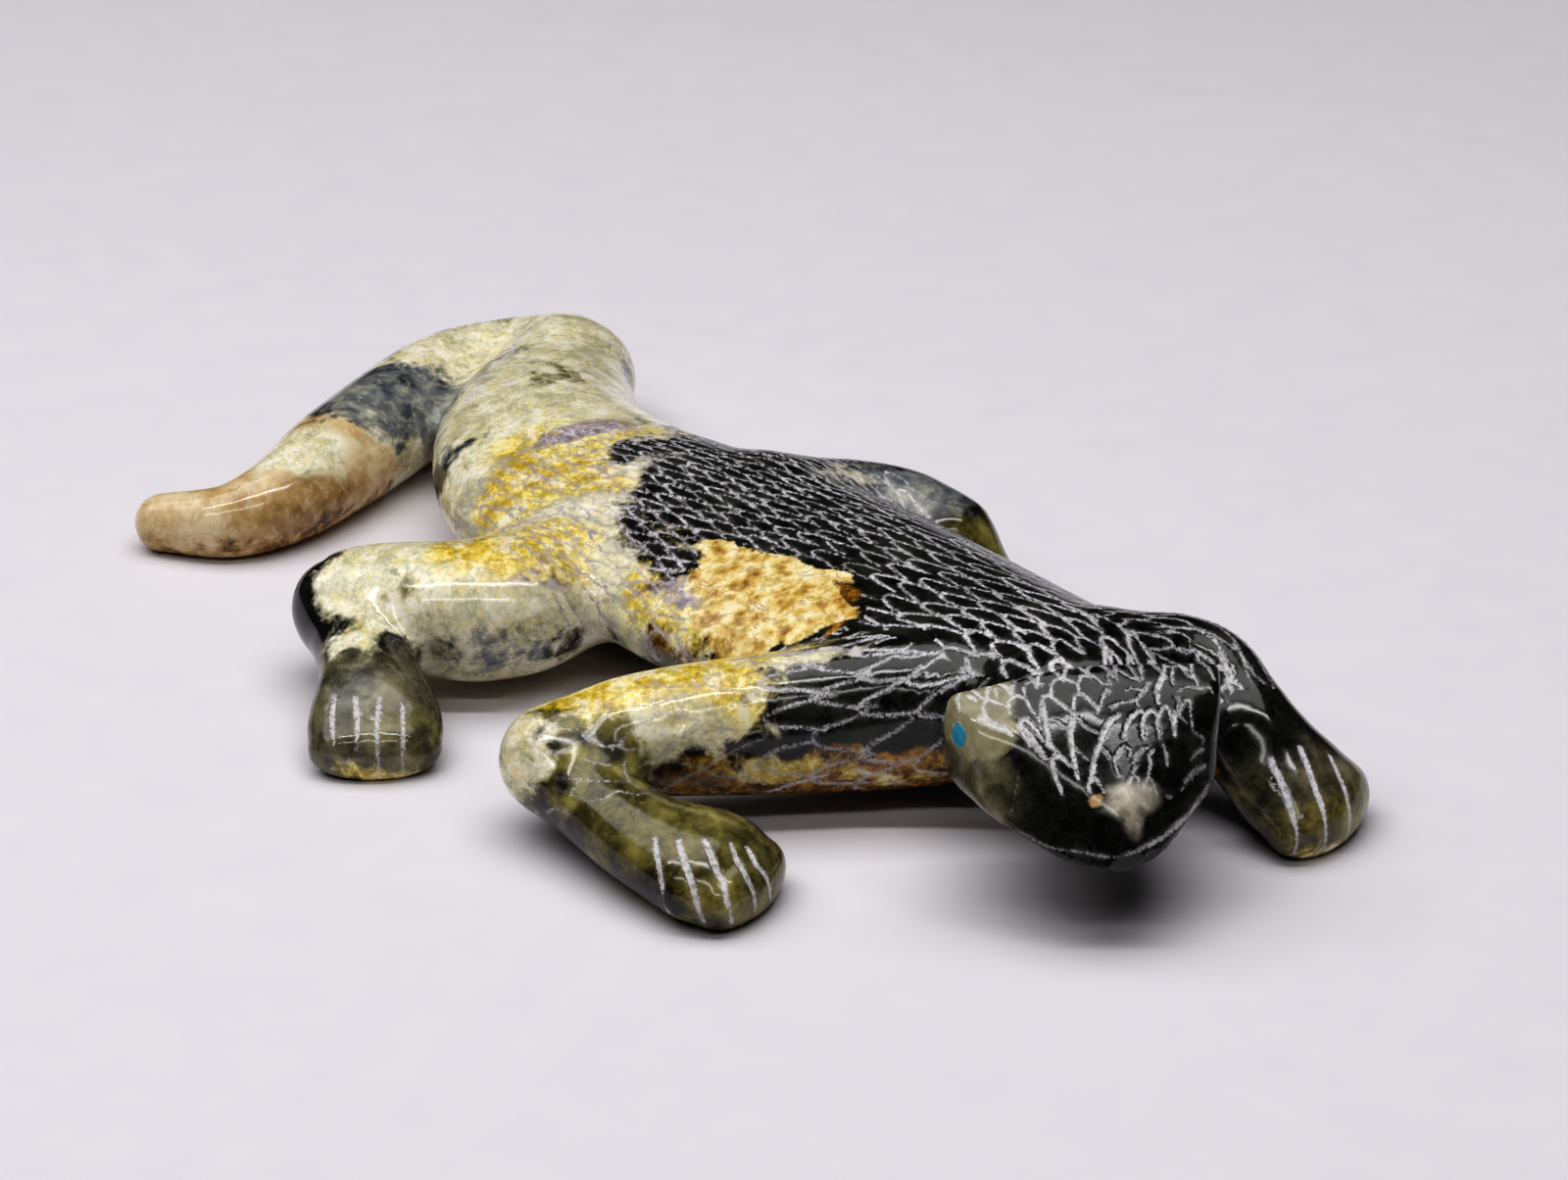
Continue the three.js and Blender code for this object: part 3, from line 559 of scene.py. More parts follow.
# %% Scratches on the head
HEAD_SCALES = [
    (0.14, 0.85, 1, [(4.3, -2.4), (4.2, -3.1), (3.9, -3.6), (3.3, -3.6), (2.7, -3.1)]),
    (0.15, 0.85, 1, [(2.5, -2.0), (2.3, -2.8), (1.9, -3.4), (1.3, -3.3), (0.4, -2.4)]),
    (0.15, 0.85, 1, [(0.5, -1.7), (0.5, -2.4), (0.0, -3.0), (-0.8, -3.0), (-1.4, -2.3), (-1.9, -2.3)]),
    (0.13, 0.8, 1, [(-1.9, -2.3), (-1.8, -2.9), (-2.1, -3.2), (-2.9, -3.4), (-3.7, -2.8), (-4.2, -2.5)]),
    (0.17, 0.95, 1, [(5.7, -1.3), (5.5, -2.3), (4.9, -2.8), (4.4, -2.3), (4.2, -1.3), (3.9, -0.2)]),
    (0.15, 0.9, 1, [(3.7, -0.6), (3.5, -1.5), (3.1, -2.1), (2.7, -2.1), (2.3, -1.4), (1.7, -0.6),
                    (1.2, 0.1)]),
    (0.17, 1, 2, [(3.2, -1.6), (3.4, -0.5), (3.5, 0.6), (3.6, 1.4), (3.1, 2.1)]),
    (0.15, 0.9, 1, [(1.5, -0.1), (1.3, -1.0), (1.0, -1.6), (0.5, -1.7), (0.0, -1.0), (-0.4, -0.3),
                    (-0.3, 0.0)]),
    (0.16, 1, 2, [(1.5, 0.0), (1.9, 1.0), (2.1, 2.0), (2.2, 3.1), (2.2, 4.0)]),
    (0.12, 0.7, 1, [(1.2, 0.0), (0.7, 0.8), (0.1, 1.4)]),
    (0.17, 1, 1, [(7.0, -0.7), (7.4, -1.6), (7.4, -2.6), (6.9, -3.1), (6.3, -2.5), (5.7, -1.9)]),
    (0.2, 1, 1, [(8.1, -3.8), (7.7, -3.1)]),
    (0.14, 0.8, 1, [(6.1, -3.9), (6.2, -3.0)]),
    (0.16, 1, 3, [(7.9, -1.6), (7.1, -0.8), (6.3, -0.2), (6.0, 0.2)]),
    (0.18, 1, 1, [(5.0, 1.2), (5.3, 0.1), (5.3, -0.6), (4.8, -0.7), (4.3, 0.2), (4.0, 1.1)]),
    (0.14, 0.85, 6, [(5.4, -0.3), (4.9, 0.8), (4.6, 1.5), (4.2, 2.1)]),
    (0.14, 0.8, 1, [(3.2, -0.3), (2.6, 0.0), (2.2, 0.6)]),
    (0.17, 1, 1, [(3.5, 4.3), (3.7, 3.4), (3.7, 2.5), (3.4, 2.2), (2.9, 2.5), (2.5, 3.1)]),
    (0.11, 0.6, 1, [(2.0, 1.8), (1.6, 2.4), (1.2, 2.9)]),
    (0.18, 1, 3, [(-1.7, 0.2), (-1.0, 0.5), (-0.4, 1.2), (0.2, 2.0), (0.8, 2.9), (1.1, 3.6), (1.5, 4.3)]),
    (0.14, 0.8, 1, [(0.3, 2.1), (-0.1, 2.6), (-0.4, 3.1)]),
    (0.17, 1, 1, [(-1.6, 1.8), (-2.1, 0.9), (-2.6, 0.3), (-3.3, -0.1), (-3.6, 0.2)]),
    (0.16, 0.95, 1, [(-3.0, 1.9), (-3.3, 1.0), (-3.7, 0.3), (-4.2, -0.1), (-4.5, 0.1), (-4.5, 0.7)]),
    (0.16, 0.95, 1, [(-4.2, 1.9), (-4.4, 0.8), (-4.9, 0.0), (-5.4, -0.3), (-5.6, 0.0), (-5.6, 0.7)]),
    (0.19, 1, 2, [(-5.5, 1.7), (-5.6, 0.8), (-5.9, 0.1)]),
    (0.12, 0.8, 1, [(-6.5, -0.1), (-7.0, -0.8), (-7.3, -0.7), (-7.1, 0.2), (-7.1, 1.2)]),
    (0.18, 1, 2, [(-4.9, -0.6), (-5.1, -1.7), (-5.8, -2.8), (-6.3, -3.6)]),
    (0.16, 0.95, 1, [(-6.5, -2.1), (-6.7, -3.0), (-7.1, -3.8)]),
    (0.14, 0.9, 1, [(-6.6, -3.9), (-7.7, -3.9), (-8.4, -3.4), (-8.4, -2.5), (-8.3, -1.9)]),
    (0.14, 0.9, 2, [(-3.4, -0.4), (-3.4, -0.9), (-4.0, -1.4), (-4.7, -2.3)]),
    (0.14, 0.9, 2, [(-0.3, -0.1), (-0.8, -0.9), (-1.3, -1.7), (-1.5, -1.5)]),
    (0.13, 0.8, 2, [(-1.3, -0.4), (-2.1, -0.8), (-2.9, -0.9), (-3.5, -1.1)]),
    (0.12, 0.8, 1, [(-2.8, -1.6), (-3.2, -1.9), (-4.1, -1.8), (-4.9, -2.3)]),
    (0.14, 0.85, 1, [(-0.5, 4.3), (-0.6, 3.2), (-1.0, 2.6), (-1.5, 2.3), (-1.9, 2.6), (-1.9, 3.1)]),
    (0.12, 0.75, 1, [(-1.6, 4.2), (-1.9, 3.7), (-1.9, 3.4), (-2.2, 2.9), (-2.8, 2.6), (-3.3, 2.5)]),
    (0.15, 0.85, 1, [(-2.9, 4.3), (-3.2, 3.5), (-3.2, 3.0), (-3.6, 2.6)]),
    (0.13, 0.7, 1, [(-4.5, 3.5), (-4.5, 2.9), (-4.4, 2.3)]),
    (0.13, 0.85, 1, [(-1.2, 5.4), (-1.2, 4.8), (-1.4, 4.5), (-1.8, 4.3), (-2.0, 4.5), (-1.9, 5.1)]),
    (0.13, 0.85, 1, [(-2.1, 5.3), (-2.3, 4.8), (-2.8, 4.4), (-3.1, 4.6), (-3.2, 5.2)]),
    (0.12, 0.75, 1, [(1.5, 4.3), (1.1, 4.1), (0.9, 4.8), (0.7, 5.2)]),
    (0.15, 0.9, 1, [(1.5, 4.3), (1.7, 4.7), (1.7, 5.2)]),
    (0.12, 0.5, 1, [(-6.5, 2.6), (-7.2, 2.2), (-7.7, 1.8)]),
    (0.13, 0.5, 1, [(-5.7, 3.9), (-6.6, 3.1), (-7.8, 2.5)]),
    (0.13, 0.6, 1, [(-5.2, 5.2), (-6.2, 4.2), (-7.1, 3.5)]),
    (0.13, 0.5, 1, [(-4.1, 5.0), (-4.8, 5.0), (-5.3, 4.6), (-5.6, 4.1)]),
    (0.1, 0.6, 2, [(-6.8, -1.7), (-7.8, -2.0), (-8.5, -1.8), (-9.2, -1.8), (-9.4, -1.4)]),
    (0.1, 0.6, 2, [(-6.6, -1.3), (-6.7, -0.5), (-6.2, 0.3), (-6.6, 0.8)]),
    (0.09, 0.5, 1, [(-7.0, 1.3), (-7.8, 1.4), (-7.6, 1.7)]),
]
WIDTH_SHARE = 0.85  # of the half widths listed above
for half_width, strength, copies, turns in HEAD_SCALES:
    turns = [(-ahead, across) for across, ahead in turns]
    scratch("head", turns, WIDTH_SHARE * half_width, strength, copies, 0.1)
print("scratches on the head:", len(HEAD_SCALES))

# %% [markdown]
# The mouth is one line cut from cheek to cheek, a little deeper than the scales, and the maker went
# over its left half several times. The cracks beside the snout and the rubbed rim of the left cheek
# are marks of the same kind. Their turns have a third number: how far above the middle of the head.

# %% Mouth, cracks and rim
mouth_right = [(6.6, 4.4, -1.9), (4.7, 6.0, -2.3), (3.6, 6.9, -2.2), (2.4, 7.6, -2.1),
               (1.2, 8.3, -2.0), (-0.2, 8.8, -1.9)]
mouth_left = [(-0.2, 8.8, -1.9), (-2.0, 7.8, -2.0), (-3.4, 7.0, -2.1), (-4.5, 6.1, -2.0),
              (-5.7, 5.2, -1.9), (-7.4, 3.6, -1.3), (-8.6, 1.6, -0.6)]
snout_crack = [(7.0, 3.6, -2.0), (6.7, 3.6, -0.6), (6.3, 2.8, 0.6), (5.9, 2.2, 1.6), (5.5, 2.0, 2.0)]
brow_crack = [(5.5, 2.0, 2.0), (4.7, 2.1, 2.2), (3.7, 2.2, 2.4)]
cheek_rim = [(-8.9, -3.7, 3.9), (-9.9, -3.0, 3.5), (-10.0, -2.1, 3.05), (-9.6, -0.6, 2.0),
             (-9.0, 0.7, 1.3), (-8.5, 1.6, 0.5)]
scratch("face", mouth_right, 0.09, 0.45, 2, 0.06, cut=2.5)
scratch("face", mouth_left, 0.1, 0.6, 2, 0.08, cut=2.5)
scratch("face", mouth_left[1:6], 0.15, 0.75, 3, 0.16, cut=0.6)
scratch("face", snout_crack, 0.04, 0.35, cut=0.3)
scratch("face", brow_crack, 0.04, 0.3, cut=0.3)
scratch("face", cheek_rim, 0.06, 0.6, cut=0.3)
print("marks on the face:", len(SCRATCHES["face"]))

# %% [markdown]
# ## Toes, elbow and folds
# Toes are straight lines down the front of each foot, pressed hard at the top and let off at the
# tip. The right forefoot and the fine scales on its elbow are close to the camera, so their turns
# are listed, in millimetres from the middle of the carving. Two long lines part the right arm from
# the back.

# %% Right toes and elbow
RIGHT_TOES = [
    [(-18.3, -37.6, 5.8), (-18.8, -39.2, 4.75), (-19.0, -40.4, 3.5), (-18.7, -40.8, 1.5)],
    [(-17.0, -38.7, 5.9), (-17.3, -40.4, 5.1), (-17.3, -41.9, 3.9), (-17.2, -42.6, 2.7),
     (-16.9, -42.9, 1.5)],
    [(-15.3, -39.4, 5.8), (-15.3, -41.0, 4.9), (-15.1, -42.3, 3.9), (-15.2, -43.2, 2.9),
     (-14.8, -43.2, 1.0)],
    [(-13.5, -39.7, 5.3), (-13.5, -40.9, 4.6), (-13.2, -42.1, 3.8), (-12.9, -42.7, 2.5),
     (-12.8, -42.8, 1.3)],
    [(-12.2, -39.7, 4.8), (-12.2, -41.0, 4.25), (-11.6, -41.5, 3.4), (-11.2, -41.7, 1.9),
     (-11.1, -41.7, 1.2)],
]
ELBOW_SCALES = [
    [(-21.7, -24.9, 9.4), (-20.8, -25.5, 9.3), (-20.0, -25.9, 9.2), (-18.8, -26.0, 9.3),
     (-18.1, -26.0, 9.5)],
    [(-21.4, -25.2, 9.3), (-22.2, -25.3, 9.0), (-22.7, -25.4, 8.6), (-23.0, -25.7, 8.1)],
    [(-22.2, -26.4, 8.2), (-21.4, -26.9, 8.2), (-20.7, -27.0, 8.4), (-20.2, -26.7, 8.7)],
    [(-18.1, -26.1, 9.4), (-18.8, -26.3, 9.1), (-19.4, -26.6, 8.9), (-19.1, -27.0, 8.6),
     (-18.1, -27.3, 8.3), (-16.9, -27.4, 8.4)],
    [(-20.1, -28.0, 7.9), (-19.3, -28.7, 7.7), (-18.2, -29.0, 7.4)],
    [(-17.1, -28.4, 7.2), (-17.6, -29.9, 7.1), (-17.8, -31.3, 7.1)],
    [(-22.5, -28.1, 6.2), (-21.8, -29.7, 6.2), (-20.9, -31.5, 6.3), (-20.0, -32.1, 6.7),
     (-19.0, -32.0, 7.0), (-17.7, -33.1, 6.9), (-16.1, -32.0, 6.5)],
    [(-20.9, -29.5, 7.1), (-21.3, -29.7, 6.7), (-21.8, -29.8, 6.1)],
    [(-22.2, -28.0, 6.8), (-20.9, -29.4, 7.0), (-19.6, -30.5, 7.2), (-18.1, -31.1, 7.1)],
    [(-22.9, -27.8, 3.9), (-22.8, -28.6, 4.6), (-22.4, -29.5, 5.0), (-22.2, -30.4, 5.0)],
]
for turns in RIGHT_TOES:
    scratch("foot", turns, 0.23, 1.05, ends=(0.95, 0.6))
for turns in ELBOW_SCALES:
    scratch("foot", turns, 0.12, 0.6)
print("lines on the right forefoot:", len(RIGHT_TOES), "and on its elbow:", len(ELBOW_SCALES))

# %% Other toes and folds
def toes(first, last, lean, count, half_width, strength=0.95):
    """Lines down a foot, seen from above. first and last are the tops of the two outer lines."""
    first, last = np.array(first), np.array(last)
    for k in range(count):
        top = first + (last - first) * k / (count - 1) + rng.normal(0, 0.1, 2)
        tip = top + np.array(lean) * rng.uniform(0.92, 1.08)
        middle = (top + tip) / 2 + rng.normal(0, 0.08, 2)
        scratch("plan", [top, middle, tip], half_width, strength, ends=(0.9, 0.4))


toes((26.3, -45.7), (31.1, -45.4), (0.0, -4.4), 3, 0.24, 1.05)
scratch("plan", [(34.2, -45.8), (34.6, -47.2)], 0.12, 0.5)
toes((-31.9, -6.3), (-27.4, -9.0), (-1.3, -3.6), 4, 0.19, 0.9)
toes((21.8, -2.6), (25.2, -2.4), (0.5, -3.2), 4, 0.17, 0.75)
scratch("plan", [(-7.5, -24.6), (-3.6, -25.6), (0.2, -27.6), (3.4, -29.8), (6.2, -32.2)], 0.17, 0.95, 2, 0.1)
scratch("arm", [(2.0, 0.4), (7.0, 0.9), (12.5, 0.2), (16.5, 0.6)], 0.15, 0.9, 2, 0.1)
print("scratches:", {name: len(strokes) for name, strokes in SCRATCHES.items()})

# %% Distance to the nearest scratch
FAR, REACH = 9.0, 0.7  # mm: what a knot far from all marks carries, and how far a scratch is felt


def read_scratches(p):
    """For points on the skin: mm to the edge of the nearest scratch, below zero inside it, and how
    white and how deep that scratch is."""
    gap_to, white, cut = np.full(len(p), FAR), np.zeros(len(p)), np.zeros(len(p))
    for name, (places, allowed) in charts(p).items():
        own = np.flatnonzero(allowed)
        own = own[np.argsort(places[own, 0])]
        sorted_along = places[own, 0]
        for stroke, half_width, strength, ends, deep in SCRATCHES[name]:
            low, high = stroke.min(0) - half_width - REACH, stroke.max(0) + half_width + REACH
            ids = own[np.searchsorted(sorted_along, low[0]):np.searchsorted(sorted_along, high[0])]
            ids = ids[np.all((places[ids] > low) & (places[ids] < high), 1)]
            if not len(ids):
                continue
            here, nearest = places[ids], np.full(len(ids), 1e9)
            walked = np.concatenate([[0], np.cumsum(np.linalg.norm(np.diff(stroke, axis=0), axis=1))])
            for a, b, start, stop in zip(stroke[:-1], stroke[1:], walked[:-1], walked[1:]):
                step = b - a
                t = np.clip((here - a) @ step / max(step @ step, 1e-9), 0, 1)
                share = (start + t * (stop - start)) / walked[-1]
                thin = np.interp(share, [0, 0.4, 0.75, 1], [ends[0], 1, 0.9, ends[1]])
                gap = np.linalg.norm(here - a - t[:, None] * step, axis=1) - half_width * thin
                nearest = np.minimum(nearest, gap)
            closer = nearest < gap_to[ids]
            gap_to[ids[closer]] = nearest[closer]
            white[ids[closer]], cut[ids[closer]] = strength, strength * deep
    return gap_to, white, cut

# %% [markdown]
# ## Finer meshes under the scratches
# Half a millimetre is fine enough for bare polish but not for a scratch that is a third of a
# millimetre wide. Meshes near a scratch are cut in four, on the face and the toes twice.

# %% Halving meshes
def halve(points, rings, chosen):
    """Cuts chosen four-sided meshes in four. Their neighbours take the new knots into their own rings."""
    new_points, new_rings, middle_of = points.tolist(), [], {}
    pairs = lambda ring: zip(ring, ring[1:] + ring[:1])
    key = lambda a, b: (a, b) if a < b else (b, a)
    for ring, cut in zip(rings, chosen):
        if not (cut and len(ring) == 4):
            continue
        middles = []
        for a, b in pairs(ring):
            if key(a, b) not in middle_of:
                middle_of[key(a, b)] = len(new_points)
                new_points.append([(u + v) / 2 for u, v in zip(new_points[a], new_points[b])])
            middles.append(middle_of[key(a, b)])
        centre = len(new_points)
        new_points.append([sum(new_points[k][i] for k in ring) / 4 for i in range(3)])
        new_rings += [[ring[k], middles[k], centre, middles[k - 1]] for k in range(4)]
    for ring, cut in zip(rings, chosen):
        if not (cut and len(ring) == 4):
            longer = [k for a, b in pairs(ring) for k in (a, middle_of.get(key(a, b)))]
            new_rings.append([k for k in longer if k is not None])
    return np.array(new_points), new_rings


def centres(points, rings):
    return np.array([points[ring[:4]].mean(0) for ring in rings])


for area, closest in (("everywhere", 0.45), ("face and toes", 0.2)):  # mm from a scratch
    middles = centres(points, rings)
    q = middles - MIDDLE
    chosen = read_scratches(middles)[0] < closest
    if area == "everywhere":
        chosen |= (gold_patch(q) < 1.1) & (q[:, 2] > 7)
    else:
        chosen &= (q[:, 1] < -40) & ((q[:, 0] < 21) | (q[:, 2] < 8))
    before = len(points)
    points, rings = halve(points, rings, chosen)
    points[before:] = pull_on(points[before:])
print("skin:", len(points), "knots,", sum(len(ring) - 2 for ring in rings), "triangles")

# %% [markdown]
# ## Sockets and eyes
# Each eye is a turquoise plug, glued in a drilled hole and ground almost flush. The skin is drilled
# with a Boolean cut, because pushing knots about can't give a clean round rim at this size, and the
# plug is a turned profile: straight wall, low polished dome.

# %% Eye places
EYE_RADIUS, EYE_DOME, EYE_LENGTH = 0.825, 0.16, 1.5


def eye_place(hand, ahead, up):
    """A spot on the cheek and the way square to it. ahead, up: shares of half the head's size."""
    start = HEAD_MIDDLE + AHEAD * ahead * HEAD_HALF[1] + ABOVE * up * HEAD_HALF[2]
    near, far = 0.0, 20.4
    for _ in range(40):
        t = (near + far) / 2
        if head((start + ACROSS * hand * t)[None])[0] < 0:
            near = t
        else:
            far = t
    point = start + ACROSS * hand * near
    slope = np.array([stone((point + e)[None])[0] - stone((point - e)[None])[0] for e in np.eye(3) * 0.02])
    return point, slope / np.linalg.norm(slope)


eye_places = {"eye_right": eye_place(1, -0.27, 0.42), "eye_left": eye_place(-1, -0.4, 0.3)}
print({name: [round(float(c), 2) for c in point - MIDDLE] for name, (point, _) in eye_places.items()})

# %% Turned bodies
def mesh_object(name, points_mm, faces):
    mesh = bpy.data.meshes.new(name)
    mesh.from_pydata((np.asarray(points_mm) * MM).tolist(), [], faces)
    obj = bpy.data.objects.new(name, mesh)
    bpy.context.collection.objects.link(obj)
    return obj


def turned(profile, place, sides=64):
    """A closed turned body from (radius, height) steps, standing along the eye's axis."""
    point, axis = place
    u = np.cross(axis, [0, 0, 1])
    u /= np.linalg.norm(u)
    v = np.cross(axis, u)
    around = np.arange(sides) * 2 * math.pi / sides
    spokes = np.cos(around)[:, None] * u + np.sin(around)[:, None] * v
    pts = [point - MIDDLE + spoke * r + axis * h for r, h in profile for spoke in spokes]
    knot = lambda k, i: k * sides + i % sides
    walls = [[knot(k, i), knot(k, i + 1), knot(k + 1, i + 1), knot(k + 1, i)]
             for k in range(len(profile) - 1) for i in range(sides)]
    ends = [list(range(sides))[::-1], [knot(len(profile) - 1, i) for i in range(sides)]]
    return pts, walls + ends

# %% Drilling the skin, setting the plugs
SOCKET_GAP, SOCKET_DEEPER, CHAMFER = 0.03, 0.3, 0.06
carving = mesh_object("carved_lizard", points - MIDDLE, rings)
bit = [(EYE_RADIUS + SOCKET_GAP, -EYE_LENGTH - SOCKET_DEEPER), (EYE_RADIUS + SOCKET_GAP, 2)]
for name, place in eye_places.items():
    drill = mesh_object("drill", *turned(bit, place))
    hole = carving.modifiers.new("drill", "BOOLEAN")
    hole.object, hole.operation, hole.solver = drill, "DIFFERENCE", "EXACT"
    ready = bpy.data.meshes.new_from_object(carving.evaluated_get(bpy.context.evaluated_depsgraph_get()))
    carving.modifiers.clear()
    carving.data = ready
    bpy.data.objects.remove(drill)
wall = [(EYE_RADIUS - CHAMFER, -EYE_LENGTH), (EYE_RADIUS, CHAMFER - EYE_LENGTH)]
dome = [(EYE_RADIUS * math.cos(a), EYE_DOME * math.sin(a)) for a in np.linspace(0, 1.5, 10)]
eyes = {}
for name, place in eye_places.items():
    eye = mesh_object("inlaid_" + name, *turned(wall + dome, place))
    eye.data.shade_smooth()
    eye.data.set_sharp_from_angle(angle=math.radians(40))
    eyes[name] = eye
print("drilled skin:", len(carving.data.vertices), "knots; eyes set:", list(eyes))

# %% [markdown]
# ## Grooves, crust and nicks
# A scratch in polished stone is about a tenth of a millimetre deep. The gold patch is a softer vein
# that the polish left pitted, a net of little hollows about a millimetre apart, and there are two
# nicks: one on the right arm and one on the snout.

# %% Cutting the skin
GROOVE_DEPTH, GROOVE_SLOPE, CRUST_DEPTH = 0.08, 0.12, 0.16  # mm; the slope is edge to full depth
HOLLOWS_PER_MM = 0.85
NICKS = (((-12.7, -28.1, 9.4), 0.9, 0.3), ((10.9, -53.7, 10.6), 0.3, 0.1))  # middle, reach, depth
count = len(carving.data.vertices)
flat = np.empty(count * 3)
carving.data.vertices.foreach_get("co", flat)
skin = flat.reshape(-1, 3) / MM + MIDDLE
q = skin - MIDDLE
flat = np.empty(count * 3)
carving.data.vertices.foreach_get("normal", flat)
normals = flat.reshape(-1, 3).copy()
gap_to, white, cut = read_scratches(skin)
depth = GROOVE_DEPTH * np.clip(-gap_to / GROOVE_SLOPE, 0, 1) * cut
crust = np.clip((1.1 - gold_patch(q)) * 5, 0, 1) * (q[:, 2] > 6.5)
hollows = np.array([noise.voronoi(Vector(v) * HOLLOWS_PER_MM)[0][0] if c else 0.5
                    for v, c in zip(q, crust > 0)])
depth += CRUST_DEPTH * crust * np.clip(1 - 1.6 * hollows, -0.3, 1)
for nick, size, deep in NICKS:
    depth += deep * np.clip(1 - np.linalg.norm(q - nick, axis=1) / size, 0, 1)
for point, axis in eye_places.values():
    around_eye = np.linalg.norm(np.cross(skin - point, axis), axis=1) < 1.15
    depth[around_eye & (np.abs((skin - point) @ axis) < 2.5)] = 0
carved = (q - normals * depth[:, None]) * MM
carved = np.clip(carved, np.array(cad_box[0]), np.array(cad_box[1]))
carving.data.vertices.foreach_set("co", carved.ravel())
carving.data.shade_smooth()
carving.data.set_sharp_from_angle(angle=math.radians(50))
print("deepest cut", round(float(depth.max()), 2), "mm; knots in scratches:", int((gap_to < 0).sum()))

# %% [markdown]
# ## Where each kind of stone lies, and where light and shade are painted
# The block was banded: black-green serpentine along the back, a yellow and cream band across the
# flanks and the arm, cream at the rump, tan at the end of the tail. Each band or cloud is an
# egg-shaped stain with soft, wandering edges: its kind, middle, half sizes, turn in degrees and how
# strong it is. Later stains lie over earlier ones. A few stains paint light and shade in the stone's
# colours: a painted highlight on the top of the tail and on the shoulder, painted shade in the crotch
# of the right thigh, and darker toe bottoms and forearm next to the floor.

# %% Stains
def on_head(across, ahead, above):
    return tuple(HEAD_MIDDLE + ACROSS * across + AHEAD * ahead + ABOVE * above - MIDDLE)


